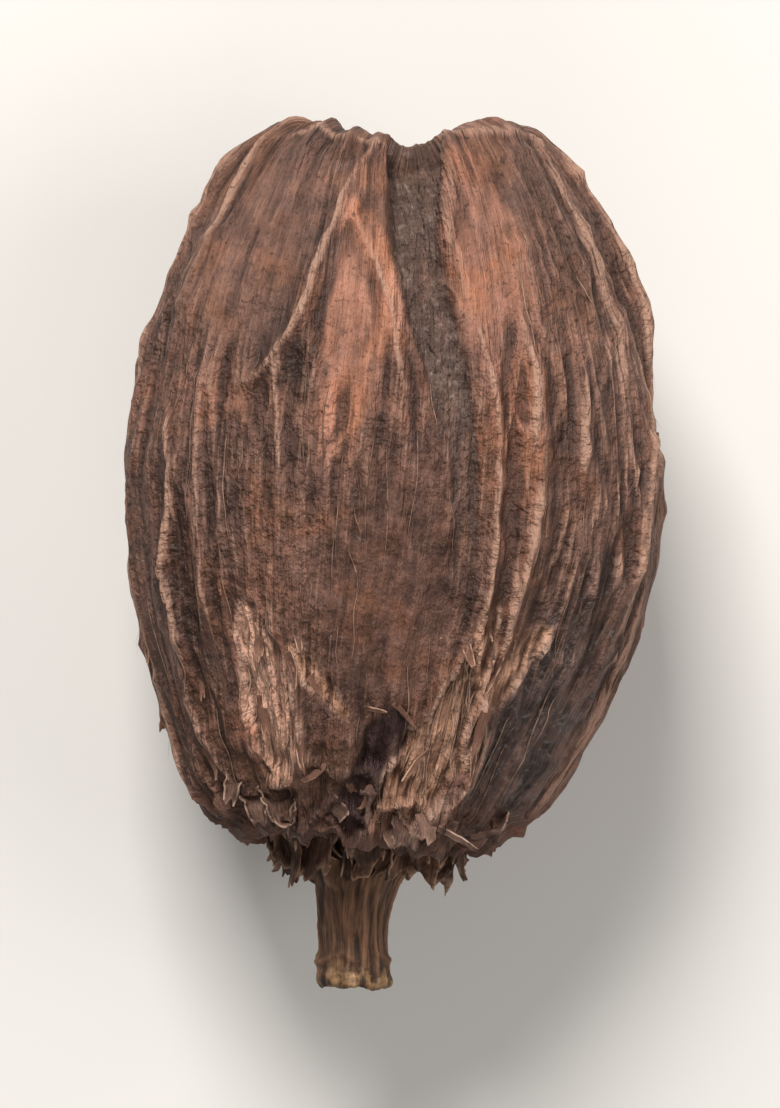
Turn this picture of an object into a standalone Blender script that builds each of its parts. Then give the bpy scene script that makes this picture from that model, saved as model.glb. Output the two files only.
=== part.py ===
"""A dried black cardamom pod lying on its side, as one solid grown in one piece.

The pod's long axis lies along Y. The sunken calyx scar is at the +Y end and the cut
stalk at the -Y end. It rests on a small flat spot at Z = 0, under its weight.
Lengths are in metres. Paths drawn on the upper side are seen from above, and give
(x, y, half width, height or depth) in millimetres, with y = 0 at the widest place.
"""

import math
import random

import bmesh
import bpy
import numpy as np
from mathutils import Matrix, Vector, noise

MM = 0.001

# Ribs round the husk, and how finely the husk is divided
RIB_COUNT = 26
COLUMNS_PER_RIB = 4
RING_COUNT = 46
RIB_SEED = 11
RIB_JITTER = 0.26
RIB_HEIGHT = 0.5 * MM
RIB_SHARPNESS = 1.5
RIB_HALF_WIDTH = 0.62  # in gaps between ribs
RIB_FADE_LENGTH = 9.0 * MM
RIB_MEAN_STRENGTH = 0.75
RIB_STRENGTH_CHANGE = 0.55
RIB_SHARE_AT_ENDS = 0.12
RIB_SHARE_ON_TOP = 0.65
RIB_WANDER = 0.075
RIB_WANDER_SIZE = 7.0 * MM

# The pod at each place along it, from the calyx scar to the cut stalk: y, half width, middle x
PROFILE_MM = (
    (11.2, 0.0, -0.3),
    (11.7, 0.6, -0.3),
    (12.1, 1.2, -0.3),
    (11.7, 1.8, -0.3),
    (12.0, 2.5, -0.3),
    (12.8, 3.3, -0.35),
    (13.2, 4.2, -0.35),
    (12.95, 5.1, -0.35),
    (12.0, 6.15, -0.35),
    (10.2, 7.4, -0.2),
    (7.5, 8.65, -0.05),
    (4.2, 9.5, 0.0),
    (0.8, 9.9, 0.0),
    (-2.8, 9.65, 0.0),
    (-6.1, 8.75, -0.15),
    (-9.0, 7.7, -0.3),
    (-11.4, 6.55, -0.45),
    (-12.9, 5.35, -0.45),
    (-13.4, 4.2, -0.45),
    (-12.8, 3.1, -0.45),
    (-13.0, 2.35, -0.47),
    (-14.3, 1.72, -0.55),
    (-15.7, 1.33, -0.65),
    (-17.2, 1.22, -0.62),
    (-18.5, 1.36, -0.52),
    (-19.05, 1.3, -0.5),
    (-18.9, 0.75, -0.5),
    (-18.75, 0.0, -0.5),
)
AXIS_HEIGHT = 8.1 * MM
BODY_FLATNESS = 0.83
BODY_Y = (-13.4 * MM, -11.8 * MM)
BODY_GIRTH = (2.6 * MM, 5.0 * MM)
UPPER_SIDE_SLOPE = (0.05, 0.5)
UPPER_SIDE_GIRTH = (2.2 * MM, 3.4 * MM)
STALK_START = -12.6 * MM
STALK_BLEND = 1.2 * MM
STALK_X = -0.45 * MM

# The husk's torn lower edge round the stalk
TORN_EDGE_DEPTH = 0.75 * MM
TORN_EDGE_SIZE = 1.5 * MM
TORN_EDGE_Y = (-12.9 * MM, -11.6 * MM)
TORN_EDGE_GIRTH = (1.8 * MM, 3.2 * MM)

# Three valves give a rounded triangle, with grooves between them at the angles below
VALVE_SWELL = 0.03
VALVE_TURN = math.radians(30)
SIDE_GROOVES = (math.radians(208), math.radians(334))
SIDE_GROOVE_WIDTH = math.radians(9)
SIDE_GROOVE_DEPTH = 0.75 * MM
SIDE_GROOVE_LEAST_SHARE = 0.35
SIDE_GROOVE_Y = (-4.0 * MM, 11.0 * MM)

# How far the valves' ends stand out past the calyx scar: angle, height, half width
CALYX_LOBES = (
    (math.radians(42), 0.7 * MM, math.radians(30)),
    (math.radians(142), 0.15 * MM, math.radians(34)),
    (math.radians(270), -0.9 * MM, math.radians(55)),
)
CALYX_LOBE_START = 8.0 * MM
CALYX_LOBE_END = 13.0 * MM
CALYX_RIM_RADIUS = 3.2 * MM

# The notch where the channel leaves the calyx end
NOTCH_X = 0.2 * MM
NOTCH_HALF_WIDTH = 1.1 * MM
NOTCH_DEPTH = 0.5 * MM
NOTCH_RIM = (2.4 * MM, 3.4 * MM)

# The deep channel between the two upper valves
CHANNEL_MM = (
    (0.1, 14.0, 1.05, 1.35),
    (0.2, 12.0, 1.0, 1.3),
    (0.4, 10.0, 0.95, 1.1),
    (0.9, 7.5, 1.0, 0.85),
    (1.6, 5.0, 0.9, 0.6),
    (2.3, 2.4, 0.75, 0.4),
    (2.7, 0.0, 0.6, 0.28),
    (2.9, -3.0, 0.4, 0.1),
)
CHANNEL_BORDER = (0.5, 1.1)

# Sharp ridges on the upper side
RIDGES_MM = (
    ((-1.4, 12.6, 0.7, 0.28), (-2.2, 11.2, 0.7, 0.42), (-3.1, 8.4, 0.7, 0.49), (-4.1, 4.3, 0.7, 0.56),
     (-4.2, 0.5, 0.7, 0.49), (-3.9, -2.6, 0.7, 0.42), (-4.2, -5.4, 0.7, 0.21)),
    ((-8.3, 2.2, 0.7, 0.21), (-8.1, -1.9, 0.7, 0.56), (-7.4, -6.3, 0.7, 0.63),
     (-6.4, -9.6, 0.7, 0.56), (-5.4, -11.6, 0.7, 0.42)),
    ((-2.1, 10.2, 0.7, 0.28), (-0.9, 8.2, 0.7, 0.35), (-0.2, 5.7, 0.7, 0.35), (0.2, 3.6, 0.7, 0.14)),
    ((1.5, 12.2, 0.7, 0.28), (1.7, 9.4, 0.7, 0.35), (2.5, 6.7, 0.7, 0.42), (3.5, 4.4, 0.7, 0.49),
     (3.9, 0.5, 0.7, 0.56), (3.85, -3.2, 0.7, 0.56), (3.5, -6.2, 0.7, 0.6), (3.6, -8.0, 0.7, 0.5),
     (3.6, -9.7, 0.6, 0.42), (2.9, -11.4, 0.6, 0.35)),
    ((4.2, 8.5, 0.7, 0.14), (4.9, 4.2, 0.7, 0.49), (5.3, 0.6, 0.7, 0.56), (5.0, -3.0, 0.7, 0.49),
     (4.3, -6.0, 0.7, 0.42)),
    ((6.3, 7.0, 0.7, 0.14), (6.9, 3.4, 0.7, 0.49), (7.1, 0.4, 0.7, 0.56), (6.8, -3.0, 0.7, 0.56),
     (5.8, -5.8, 0.7, 0.42)),
    ((8.3, 7.2, 0.7, 0.28), (9.1, 3.6, 0.7, 0.49), (9.1, -1.0, 0.7, 0.56), (8.2, -5.8, 0.7, 0.49)),
)
RIDGE_SHARPNESS = 1.3

# Places where the outer skin is torn away, and the hollow beside the stalk
TORN_MM = (
    ((3.9, -4.4, 0.3, 0.1), (3.4, -6.6, 0.6, 0.22), (2.7, -8.3, 0.8, 0.3), (1.9, -10.0, 1.2, 0.3),
     (1.0, -11.6, 1.0, 0.3), (0.6, -13.0, 0.9, 0.3)),
    ((-5.0, -4.7, 0.35, 0.1), (-4.6, -6.4, 0.8, 0.2), (-4.1, -8.3, 0.9, 0.26), (-3.8, -10.6, 0.8, 0.26)),
    ((0.5, -8.7, 0.7, 0.15), (0.2, -9.6, 0.85, 0.35), (-0.3, -10.7, 0.8, 0.4), (-0.9, -12.2, 0.9, 0.35)),
)
TORN_BORDER = (0.75, 1.15)

# Places where the ribs are low: x, y, half width, half length
SMOOTH_PATCHES_MM = (
    (-5.6, 8.6, 2.6, 4.2),
    (3.3, 8.6, 1.9, 4.0),
    (0.0, -3.6, 2.6, 4.6),
    (5.9, -10.0, 2.0, 3.2),
)
SMOOTH_PATCH_BORDER = (0.6, 1.3)
SMOOTH_PATCH_RIB_SHARE = 0.3

# Soft dents and wrinkles left by drying
DENT_DEPTH = 0.45 * MM
DENT_SIZE = 5.5 * MM
WRINKLE_DEPTH = 0.16 * MM
WRINKLE_SIZE = 1.7 * MM
GRAIN_STRETCH = 0.4

# The torn skirt of husk round the stalk
SHRED_COUNT = 20
SHRED_SEED = 7
SHRED_THICKNESS = 0.6 * MM
SHRED_LENGTH = (2.6 * MM, 4.4 * MM)
SHRED_WIDTH = (1.3 * MM, 2.4 * MM)
SHRED_TIP_SHARE = 0.3
SHRED_ROOT_RADIUS = (2.3 * MM, 3.7 * MM)
SHRED_ROOT_Y = -12.8 * MM
SHRED_ROOT_SHARE = 0.38
SHRED_STEPS = 4
SHRED_BEND = (-0.3, 0.3)  # in lengths
SHRED_CURL = (-0.15, 0.4)  # in lengths
SHRED_TWIST = (-0.7, 0.7)
SHRED_LEAN = (-0.6, 0.1)
SHRED_JITTER = (-0.35, 0.35)  # in gaps between shreds
SLIVER = 0.01 * MM

# Where in the soft noise each kind of unevenness lies
WANDER_SEED = 1.0
TORN_EDGE_SEED = 2.0
RIB_STRENGTH_SEED = 3.7
DENT_SEED = 4.0
WRINKLE_SEED = 9.0

HUSK_COLOUR = (0.105, 0.052, 0.036, 1.0)
HUSK_ROUGHNESS = 0.7


def smooth_step(low, high, value):
    """0 up to low, 1 from high on, and a smooth rise between."""
    share = np.clip((value - low) / (high - low), 0.0, 1.0)
    return share * share * (3.0 - 2.0 * share)


def on_curve(points, place):
    """A smooth curve through the points, at a place from 0 for the first to 1 for the last."""
    points = np.array(points, float)
    last = len(points) - 1
    span = np.clip(np.asarray(place, float), 0.0, 1.0) * last
    k = np.minimum(span.astype(int), last - 1)
    t = (span - k)[..., None]
    before, start = points[np.maximum(k - 1, 0)], points[k]
    end, after = points[k + 1], points[np.minimum(k + 2, last)]
    return 0.5 * (
        2.0 * start
        + (end - before) * t
        + (2.0 * before - 5.0 * start + 4.0 * end - after) * t**2
        + (3.0 * start - before - 3.0 * end + after) * t**3
    )


def noise_at(points, size, stretch=1.0, shift=0.0):
    """Soft noise from -1 to 1, with spots of a size, drawn out along the pod by 1 / stretch."""
    scale = np.array((1.0, stretch, 1.0)) / size
    return np.array([noise.noise(Vector(p * scale) + Vector((shift, shift, shift))) for p in points])


def across_path(path_mm, points):
    """Distance from a path seen from above, in half widths, and the path's height there."""
    samples = on_curve(path_mm, np.linspace(0.0, 1.0, 6 * len(path_mm))) * MM
    best = np.full(len(points), 1e9)
    height = np.zeros(len(points))
    for start, end in zip(samples[:-1], samples[1:]):
        run = end[:2] - start[:2]
        share = np.clip((points[:, :2] - start[:2]) @ run / (run @ run), 0.0, 1.0)
        here = start + share[:, None] * (end - start)
        away = np.hypot(*(points[:, :2] - here[:, :2]).T) / here[:, 2]
        nearer = away < best
        best[nearer] = away[nearer]
        height[nearer] = here[nearer, 3]
    return best, height


def rib_angles():
    """The angle of each rib round the pod, unevenly spaced."""
    rng = random.Random(RIB_SEED)
    gap = 2.0 * math.pi / RIB_COUNT
    return np.array([gap * (i + rng.uniform(-RIB_JITTER, RIB_JITTER)) for i in range(RIB_COUNT)])


def column_angles():
    """The angle of each column of the husk's mesh, with one on each rib's crest."""
    ribs = rib_angles()
    following = np.append(ribs[1:], ribs[0] + 2.0 * math.pi)
    shares = np.arange(COLUMNS_PER_RIB) / COLUMNS_PER_RIB
    return (ribs[:, None] + shares * (following - ribs)[:, None]).ravel()


def base_shape(turn, place):
    """Points of the husk without its relief, at an angle round it and a place from scar to stalk."""
    along, half_width, middle = (on_curve(PROFILE_MM, place) * MM).T
    half_width = np.maximum(half_width, 0.0)
    body = smooth_step(STALK_START - STALK_BLEND, STALK_START + STALK_BLEND, along)
    swell = 1.0 + VALVE_SWELL * body * np.cos(3.0 * (turn - VALVE_TURN))
    across = middle + half_width * swell * np.cos(turn)
    up = half_width * swell * np.sin(turn) * (1.0 - body * (1.0 - BODY_FLATNESS))
    near_calyx = smooth_step(CALYX_LOBE_START, CALYX_LOBE_END, along)
    inside_rim = smooth_step(0.0, CALYX_RIM_RADIUS, half_width)
    for angle, height, spread in CALYX_LOBES:
        off = np.angle(np.exp(1j * (turn - angle)))
        along = along + near_calyx * inside_rim * height * np.exp(-((off / spread) ** 2))
    in_notch = np.exp(-(((across - NOTCH_X) / NOTCH_HALF_WIDTH) ** 2)) * (up > 0.0)
    along = along - near_calyx * in_notch * NOTCH_DEPTH * smooth_step(*NOTCH_RIM, half_width)
    return np.stack((across, along, up), axis=1)


def torn_edge(points):
    """How far each point of the lower edge is drawn in or out along the pod, unevenly."""
    girth = np.hypot(points[:, 0], points[:, 2])
    near_edge = 1.0 - smooth_step(*TORN_EDGE_Y, points[:, 1])
    on_edge = near_edge * smooth_step(*TORN_EDGE_GIRTH, girth)
    around = points * np.array((1.0, 0.0, 1.0))
    return TORN_EDGE_DEPTH * on_edge * noise_at(around, TORN_EDGE_SIZE, shift=TORN_EDGE_SEED)


def rib_relief(turn, points):
    """Height of the long ribs, which fade in and out along the pod."""
    relief = np.zeros(len(turn))
    gap = 2.0 * math.pi / RIB_COUNT
    for i, angle in enumerate(rib_angles()):
        off = np.abs(np.angle(np.exp(1j * (turn - angle)))) / gap
        crest = np.clip(1.0 - off / RIB_HALF_WIDTH, 0.0, 1.0) ** RIB_SHARPNESS
        along = points[:, 1] / RIB_FADE_LENGTH
        change = np.array([noise.noise(Vector((y, RIB_STRENGTH_SEED * i, 0.5))) for y in along])
        relief = np.maximum(relief, crest * (RIB_MEAN_STRENGTH + RIB_STRENGTH_CHANGE * change))
    return relief * RIB_HEIGHT


def husk_relief(turn, points, normals):
    """How far the husk stands out from its base shape: ribs, ridges, channel, tears and dents."""
    along = points[:, 1]
    girth = np.hypot(points[:, 0], points[:, 2])
    body = smooth_step(*BODY_Y, along) * smooth_step(*BODY_GIRTH, girth)
    upper_side = smooth_step(*UPPER_SIDE_SLOPE, normals[:, 2]) * smooth_step(*UPPER_SIDE_GIRTH, girth)

    smooth = np.zeros(len(turn))
    for x, y, half_width, half_length in SMOOTH_PATCHES_MM:
        off = np.hypot((points[:, 0] / MM - x) / half_width, (along / MM - y) / half_length)
        smooth = np.maximum(smooth, 1.0 - smooth_step(*SMOOTH_PATCH_BORDER, off))
    lowered = 1.0 - RIB_SHARE_ON_TOP + smooth * (RIB_SHARE_ON_TOP - SMOOTH_PATCH_RIB_SHARE)
    ribs = rib_relief(turn, points) * (1.0 - upper_side * lowered)
    relief = ribs * (RIB_SHARE_AT_ENDS + (1.0 - RIB_SHARE_AT_ENDS) * body)

    for angle in SIDE_GROOVES:
        off = np.angle(np.exp(1j * (turn - angle))) / SIDE_GROOVE_WIDTH
        deepening = (1.0 - SIDE_GROOVE_LEAST_SHARE) * smooth_step(*SIDE_GROOVE_Y, along)
        depth = SIDE_GROOVE_DEPTH * (SIDE_GROOVE_LEAST_SHARE + deepening)
        relief -= depth * body * np.exp(-(off**2))
    away, depth = across_path(CHANNEL_MM, points)
    relief -= upper_side * depth * (1.0 - smooth_step(*CHANNEL_BORDER, away))
    for path in RIDGES_MM:
        away, height = across_path(path, points)
        relief += upper_side * body * height * np.clip(1.0 - away, 0.0, 1.0) ** RIDGE_SHARPNESS
    for path in TORN_MM:
        away, depth = across_path(path, points)
        relief -= upper_side * depth * (1.0 - smooth_step(*TORN_BORDER, away))
    relief += DENT_DEPTH * body * noise_at(points, DENT_SIZE, GRAIN_STRETCH, DENT_SEED)
    relief += WRINKLE_DEPTH * body * noise_at(points, WRINKLE_SIZE, GRAIN_STRETCH, WRINKLE_SEED)
    return relief


def make_husk(collection):
    """The husk and its stalk as one closed shape, from a sphere whose poles lie along the pod."""
    columns = COLUMNS_PER_RIB * RIB_COUNT
    mesh = bpy.data.meshes.new("cardamom_pod")
    sphere = bmesh.new()
    bmesh.ops.create_uvsphere(sphere, u_segments=columns, v_segments=RING_COUNT, radius=1.0)
    bmesh.ops.rotate(sphere, cent=(0, 0, 0), matrix=Matrix.Rotation(-math.pi / 2, 3, "X"), verts=sphere.verts)
    sphere.to_mesh(mesh)
    sphere.free()

    ball = np.array([v.co for v in mesh.vertices])
    place = np.arccos(np.clip(ball[:, 1], -1.0, 1.0)) / math.pi
    column = np.round(np.arctan2(ball[:, 2], ball[:, 0]) * columns / (2.0 * math.pi)).astype(int)
    turn = column_angles()[column % columns]
    rough = base_shape(turn, place)
    wander = noise_at(rough, RIB_WANDER_SIZE, GRAIN_STRETCH, WANDER_SEED)
    points = base_shape(turn + RIB_WANDER * wander, place)
    mesh.vertices.foreach_set("co", points.ravel())
    mesh.update()
    normals = np.array([n.vector for n in mesh.vertex_normals])
    relief = husk_relief(turn, points, normals)
    points[:, 1] += torn_edge(points)
    points += normals * relief[:, None]
    points[:, 2] = np.maximum(points[:, 2] + AXIS_HEIGHT, 0.0)
    mesh.vertices.foreach_set("co", points.ravel())
    mesh.update()

    husk = bpy.data.objects.new("pod", mesh)
    collection.objects.link(husk)
    return husk


def shred_bar(rng):
    """A thin tapered bar along +Y, rooted behind the origin, curled up and bent to one side."""
    length = rng.uniform(*SHRED_LENGTH)
    width = rng.uniform(*SHRED_WIDTH)
    curl = rng.uniform(*SHRED_CURL) * length
    side_bend = rng.uniform(*SHRED_BEND) * length
    twist = rng.uniform(*SHRED_TWIST)
    bar = bmesh.new()
    bmesh.ops.create_cube(bar, size=1.0)
    long_edges = [e for e in bar.edges if abs(e.verts[0].co.y - e.verts[1].co.y) > 0.5]
    bmesh.ops.subdivide_edges(bar, edges=long_edges, cuts=SHRED_STEPS - 1)
    for vert in bar.verts:
        share = vert.co.y + 0.5
        across = vert.co.x * width * (1.0 - (1.0 - SHRED_TIP_SHARE) * share**1.5)
        corner = Vector((across, 0.0, vert.co.z * SHRED_THICKNESS))
        corner.rotate(Matrix.Rotation(twist * share, 3, "Y"))
        bend = share**2
        vert.co = corner + Vector((side_bend * bend, (share - SHRED_ROOT_SHARE) * length, curl * bend))
    return bar


def make_shred(collection, rng, index):
    """One torn strip of husk, rooted in the husk's lower edge and curling away from it."""
    angle = 2.0 * math.pi * (index + rng.uniform(*SHRED_JITTER)) / SHRED_COUNT
    mesh = bpy.data.meshes.new("shred")
    bar = shred_bar(rng)
    bar.to_mesh(mesh)
    bar.free()
    shred = bpy.data.objects.new(f"shred_{index}", mesh)
    collection.objects.link(shred)
    outward = Vector((math.cos(angle), 0.0, math.sin(angle)))
    forward = (Vector((0.0, -1.0, 0.0)) + outward * rng.uniform(*SHRED_LEAN)).normalized()
    sideways = forward.cross(outward).normalized()
    facing = Matrix((sideways, forward, sideways.cross(forward))).transposed().to_4x4()
    reach = rng.uniform(*SHRED_ROOT_RADIUS)
    across = STALK_X + outward.x * reach
    root = Vector((across, SHRED_ROOT_Y, AXIS_HEIGHT + outward.z * reach * BODY_FLATNESS))
    shred.matrix_world = Matrix.Translation(root) @ facing
    return shred


def join_shreds(husk, collection):
    """One union fuses all the strips to the husk."""
    union = husk.modifiers.new("join_shreds", "BOOLEAN")
    union.operation = "UNION"
    union.operand_type = "COLLECTION"
    union.collection = collection
    union.solver = "EXACT"
    bpy.context.view_layer.update()
    graph = bpy.context.evaluated_depsgraph_get()
    joined = bpy.data.meshes.new_from_object(husk.evaluated_get(graph))
    husk.modifiers.clear()
    husk.data = joined
    for shred in list(collection.objects):
        bpy.data.objects.remove(shred)
    bpy.data.collections.remove(collection)


def fill_pockets(husk):
    """Keeps only the outer skin, so that a pocket closed off between two strips is solid."""
    skin = bmesh.new()
    skin.from_mesh(husk.data)
    bmesh.ops.dissolve_degenerate(skin, dist=SLIVER, edges=skin.edges)
    bmesh.ops.triangulate(skin, faces=skin.faces)
    unseen = set(skin.verts)
    pieces = []
    while unseen:
        piece = {unseen.pop()}
        edge_of_piece = list(piece)
        while edge_of_piece:
            vert = edge_of_piece.pop()
            near = {edge.other_vert(vert) for edge in vert.link_edges} & unseen
            unseen -= near
            piece |= near
            edge_of_piece.extend(near)
        pieces.append(piece)
    pieces.sort(key=len)
    for pocket in pieces[:-1]:
        bmesh.ops.delete(skin, geom=list(pocket), context="VERTS")
    skin.to_mesh(husk.data)
    skin.free()


def centre_over_origin(husk):
    """Moves the mesh so that the origin is at the middle of the pod's base."""
    points = np.array([v.co for v in husk.data.vertices])
    middle = (points.min(axis=0) + points.max(axis=0)) / 2.0
    husk.data.transform(Matrix.Translation((-middle[0], -middle[1], 0.0)))


def husk_material():
    """Dull brown dried husk."""
    material = bpy.data.materials.new("dried_husk")
    material.use_nodes = True
    shader = material.node_tree.nodes["Principled BSDF"]
    shader.inputs["Base Color"].default_value = HUSK_COLOUR
    shader.inputs["Roughness"].default_value = HUSK_ROUGHNESS
    shader.inputs["Metallic"].default_value = 0.0
    return material


def main():
    for old in list(bpy.data.objects):
        bpy.data.objects.remove(old)
    pod = bpy.data.collections.new("black_cardamom_pod")
    strips = bpy.data.collections.new("torn_strips")
    bpy.context.scene.collection.children.link(pod)
    bpy.context.scene.collection.children.link(strips)
    husk = make_husk(pod)
    rng = random.Random(SHRED_SEED)
    for index in range(SHRED_COUNT):
        make_shred(strips, rng, index)
    join_shreds(husk, strips)
    fill_pockets(husk)
    centre_over_origin(husk)
    husk.data.materials.clear()
    husk.data.materials.append(husk_material())
    husk.data.shade_smooth()


main()
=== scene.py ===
import math
import random
from types import SimpleNamespace

import bpy
import numpy as np
from mathutils import Matrix, Vector, noise
from mathutils.bvhtree import BVHTree


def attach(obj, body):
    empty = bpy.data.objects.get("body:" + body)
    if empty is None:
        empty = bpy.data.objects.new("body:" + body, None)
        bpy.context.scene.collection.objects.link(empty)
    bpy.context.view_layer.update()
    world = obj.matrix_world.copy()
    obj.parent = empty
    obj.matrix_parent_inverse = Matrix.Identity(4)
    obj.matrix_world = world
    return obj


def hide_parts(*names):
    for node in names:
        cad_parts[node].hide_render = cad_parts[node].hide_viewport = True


# A dried black cardamom pod, lying on its side and seen from above.
# Paths drawn on its upper side are in millimetres, in the pod's own frame: x across, and y
# along it from the widest place, +y towards the calyx end. Each gives x, y, half width, and a
# height, depth or strength. Everything is moved to the frame's place at the end.
# A pair says where something starts and where it is full, or its least and most. A border
# says up to where it is full, and where it ends. Soft noise is given by the width of its
# spots, that width over their length along the pod, and its place in the noise. Where an
# amount is given too, it comes first.

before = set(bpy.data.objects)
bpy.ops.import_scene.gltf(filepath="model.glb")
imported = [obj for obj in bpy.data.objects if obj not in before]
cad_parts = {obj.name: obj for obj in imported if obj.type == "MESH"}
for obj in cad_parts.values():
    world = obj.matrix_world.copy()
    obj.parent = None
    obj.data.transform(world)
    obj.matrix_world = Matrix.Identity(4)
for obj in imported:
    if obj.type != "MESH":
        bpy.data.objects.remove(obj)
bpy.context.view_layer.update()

MM = 0.001

# Where the pod's own frame lies in the frame's
POD_SHIFT = Vector((-0.0305, 2.4804, 0.0)) * MM
AXIS_HEIGHT = 8.1 * MM
ACROSS = np.array((1.0, 0.0, 0.0))
AHEAD = np.array((0.0, 1.0, 0.0))
UP = np.array((0.0, 0.0, 1.0))

# The husk's outline, from the calyx scar to the stalk: y, half width, middle x
BODY_PROFILE_MM = (
    (11.2, 0.0, -0.3), (11.7, 0.6, -0.3), (12.1, 1.2, -0.3), (11.7, 1.8, -0.3), (12.0, 2.5, -0.3),
    (12.8, 3.3, -0.35), (13.2, 4.2, -0.35), (12.95, 5.1, -0.35), (12.0, 6.15, -0.35),
    (10.2, 7.4, -0.2), (7.5, 8.65, -0.05), (4.2, 9.5, 0.0), (0.8, 9.9, 0.0), (-2.8, 9.65, 0.0),
    (-6.1, 8.75, -0.15), (-9.0, 7.7, -0.3), (-11.4, 6.55, -0.45), (-12.9, 5.35, -0.45),
    (-13.4, 4.2, -0.45), (-12.8, 3.0, -0.45), (-12.6, 1.8, -0.45), (-12.5, 0.8, -0.45),
    (-12.4, 0.0, -0.45),
)
STALK_PROFILE_MM = (
    (-11.6, 0.0, -0.45), (-11.7, 1.2, -0.45), (-12.5, 2.1, -0.45), (-13.4, 2.1, -0.47),
    (-14.4, 1.7, -0.55), (-15.6, 1.35, -0.65), (-17.0, 1.22, -0.62), (-18.1, 1.28, -0.55),
    (-18.75, 1.42, -0.5), (-19.0, 1.25, -0.5), (-18.9, 0.7, -0.5), (-18.8, 0.0, -0.5),
)
BODY_FLATNESS = 0.83
BODY_Y = (-13.4 * MM, -11.8 * MM)
BODY_GIRTH = (2.6 * MM, 5.0 * MM)
UPPER_SIDE_SLOPE = (0.05, 0.5)
UPPER_SIDE_GIRTH = (2.2 * MM, 3.4 * MM)
STALK_START = -12.6 * MM
STALK_BLEND = 1.2 * MM
STALK_X = -0.45 * MM
VALVE_COUNT = 3
VALVE_SWELL = 0.03
VALVE_TURN = math.radians(30)

# How finely the husk and the stalk are divided: columns and rings
HUSK_DIVISIONS = (576, 170)
STALK_DIVISIONS = (144, 110)
PROFILE_SAMPLES = 4000
PATH_SAMPLES = 6  # for each point of a drawn path
SEAM_GAP = 1e-5

# The long ribs, grooves, calyx end, lower edge and dents, as the frame's solid has them
RIB_COUNT = 26
RIB_SEED = 11
RIB_JITTER = 0.26
RIB_HEIGHT = 0.5 * MM
RIB_SHARPNESS = 1.5
RIB_HALF_WIDTH = 0.62  # in gaps between ribs
RIB_FADE_LENGTH = 9.0 * MM
RIB_FADE_STEPS = np.linspace(-2.0, 2.0, 400)
RIB_MEAN_STRENGTH = 0.75
RIB_STRENGTH_CHANGE = 0.55
RIB_STRENGTH_SEED = 3.7
RIB_SHARE_AT_ENDS = 0.12
RIB_SHARE_ON_TOP = 0.65
SMOOTH_PATCH_RIB_SHARE = 0.3
RIB_WANDER = 0.075
RIB_FLOW = (7.0 * MM, 0.4, 1.0)
SIDE_GROOVES = (math.radians(208), math.radians(334))
SIDE_GROOVE_WIDTH = math.radians(9)
SIDE_GROOVE_DEPTH = 0.75 * MM
SIDE_GROOVE_LEAST_SHARE = 0.35
SIDE_GROOVE_Y = (-4.0 * MM, 11.0 * MM)
CALYX_LOBES = (
    (math.radians(42), 0.7 * MM, math.radians(30)),
    (math.radians(142), 0.15 * MM, math.radians(34)),
    (math.radians(270), -0.9 * MM, math.radians(55)),
)
CALYX_LOBE_Y = (8.0 * MM, 13.0 * MM)
CALYX_RIM_RADIUS = 3.2 * MM
NOTCH_X = 0.2 * MM
NOTCH_HALF_WIDTH = 1.1 * MM
NOTCH_DEPTH = 0.5 * MM
NOTCH_RIM = (2.4 * MM, 3.4 * MM)
TORN_EDGE_Y = (-11.6 * MM, -12.9 * MM)
TORN_EDGE_GIRTH = (1.8 * MM, 3.2 * MM)
TORN_EDGE = ((0.75 * MM, 1.5 * MM, 1.0, 2.0), (0.375 * MM, 0.6 * MM, 1.0, 7.0))
DENTS_AND_WRINKLES = ((0.45 * MM, 5.5 * MM, 0.4, 4.0), (0.16 * MM, 1.7 * MM, 0.4, 9.0))

# Paths wander a little, so that none of them looks drawn
PATH_WANDER = ((0.24 * MM, 1.5 * MM, 0.7, 14.0), (0.1 * MM, 0.5 * MM, 0.7, 15.0))
STROKE_RAGGED = ((0.25, 1.4 * MM, 0.35, 27.0), (0.12, 0.45 * MM, 0.3, 28.0))
STROKE_BORDER = (0.75, 1.2)
PATCH_BORDER = (0.6, 1.3)

# The deep channel between the two upper valves. Its colour runs on over the calyx rim
CHANNEL_MM = (
    (0.1, 14.0, 1.05, 1.35), (0.2, 12.0, 1.0, 1.3), (0.4, 10.0, 0.95, 1.1), (0.9, 7.5, 1.0, 0.85),
    (1.6, 5.0, 0.9, 0.6), (2.3, 2.4, 0.75, 0.4), (2.7, 0.0, 0.6, 0.28), (2.9, -3.0, 0.4, 0.1),
)
CHANNEL_BORDER = (0.6, 1.1)
CHANNEL_COLOUR_BORDER = (0.78, 1.0)
CHANNEL_COLOUR_DEPTH = (0.12 * MM, 0.4 * MM)
OVER_RIM_SLOPE = (-0.3, 0.2)
OVER_RIM_GIRTH = (1.6 * MM, 2.4 * MM)

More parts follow.
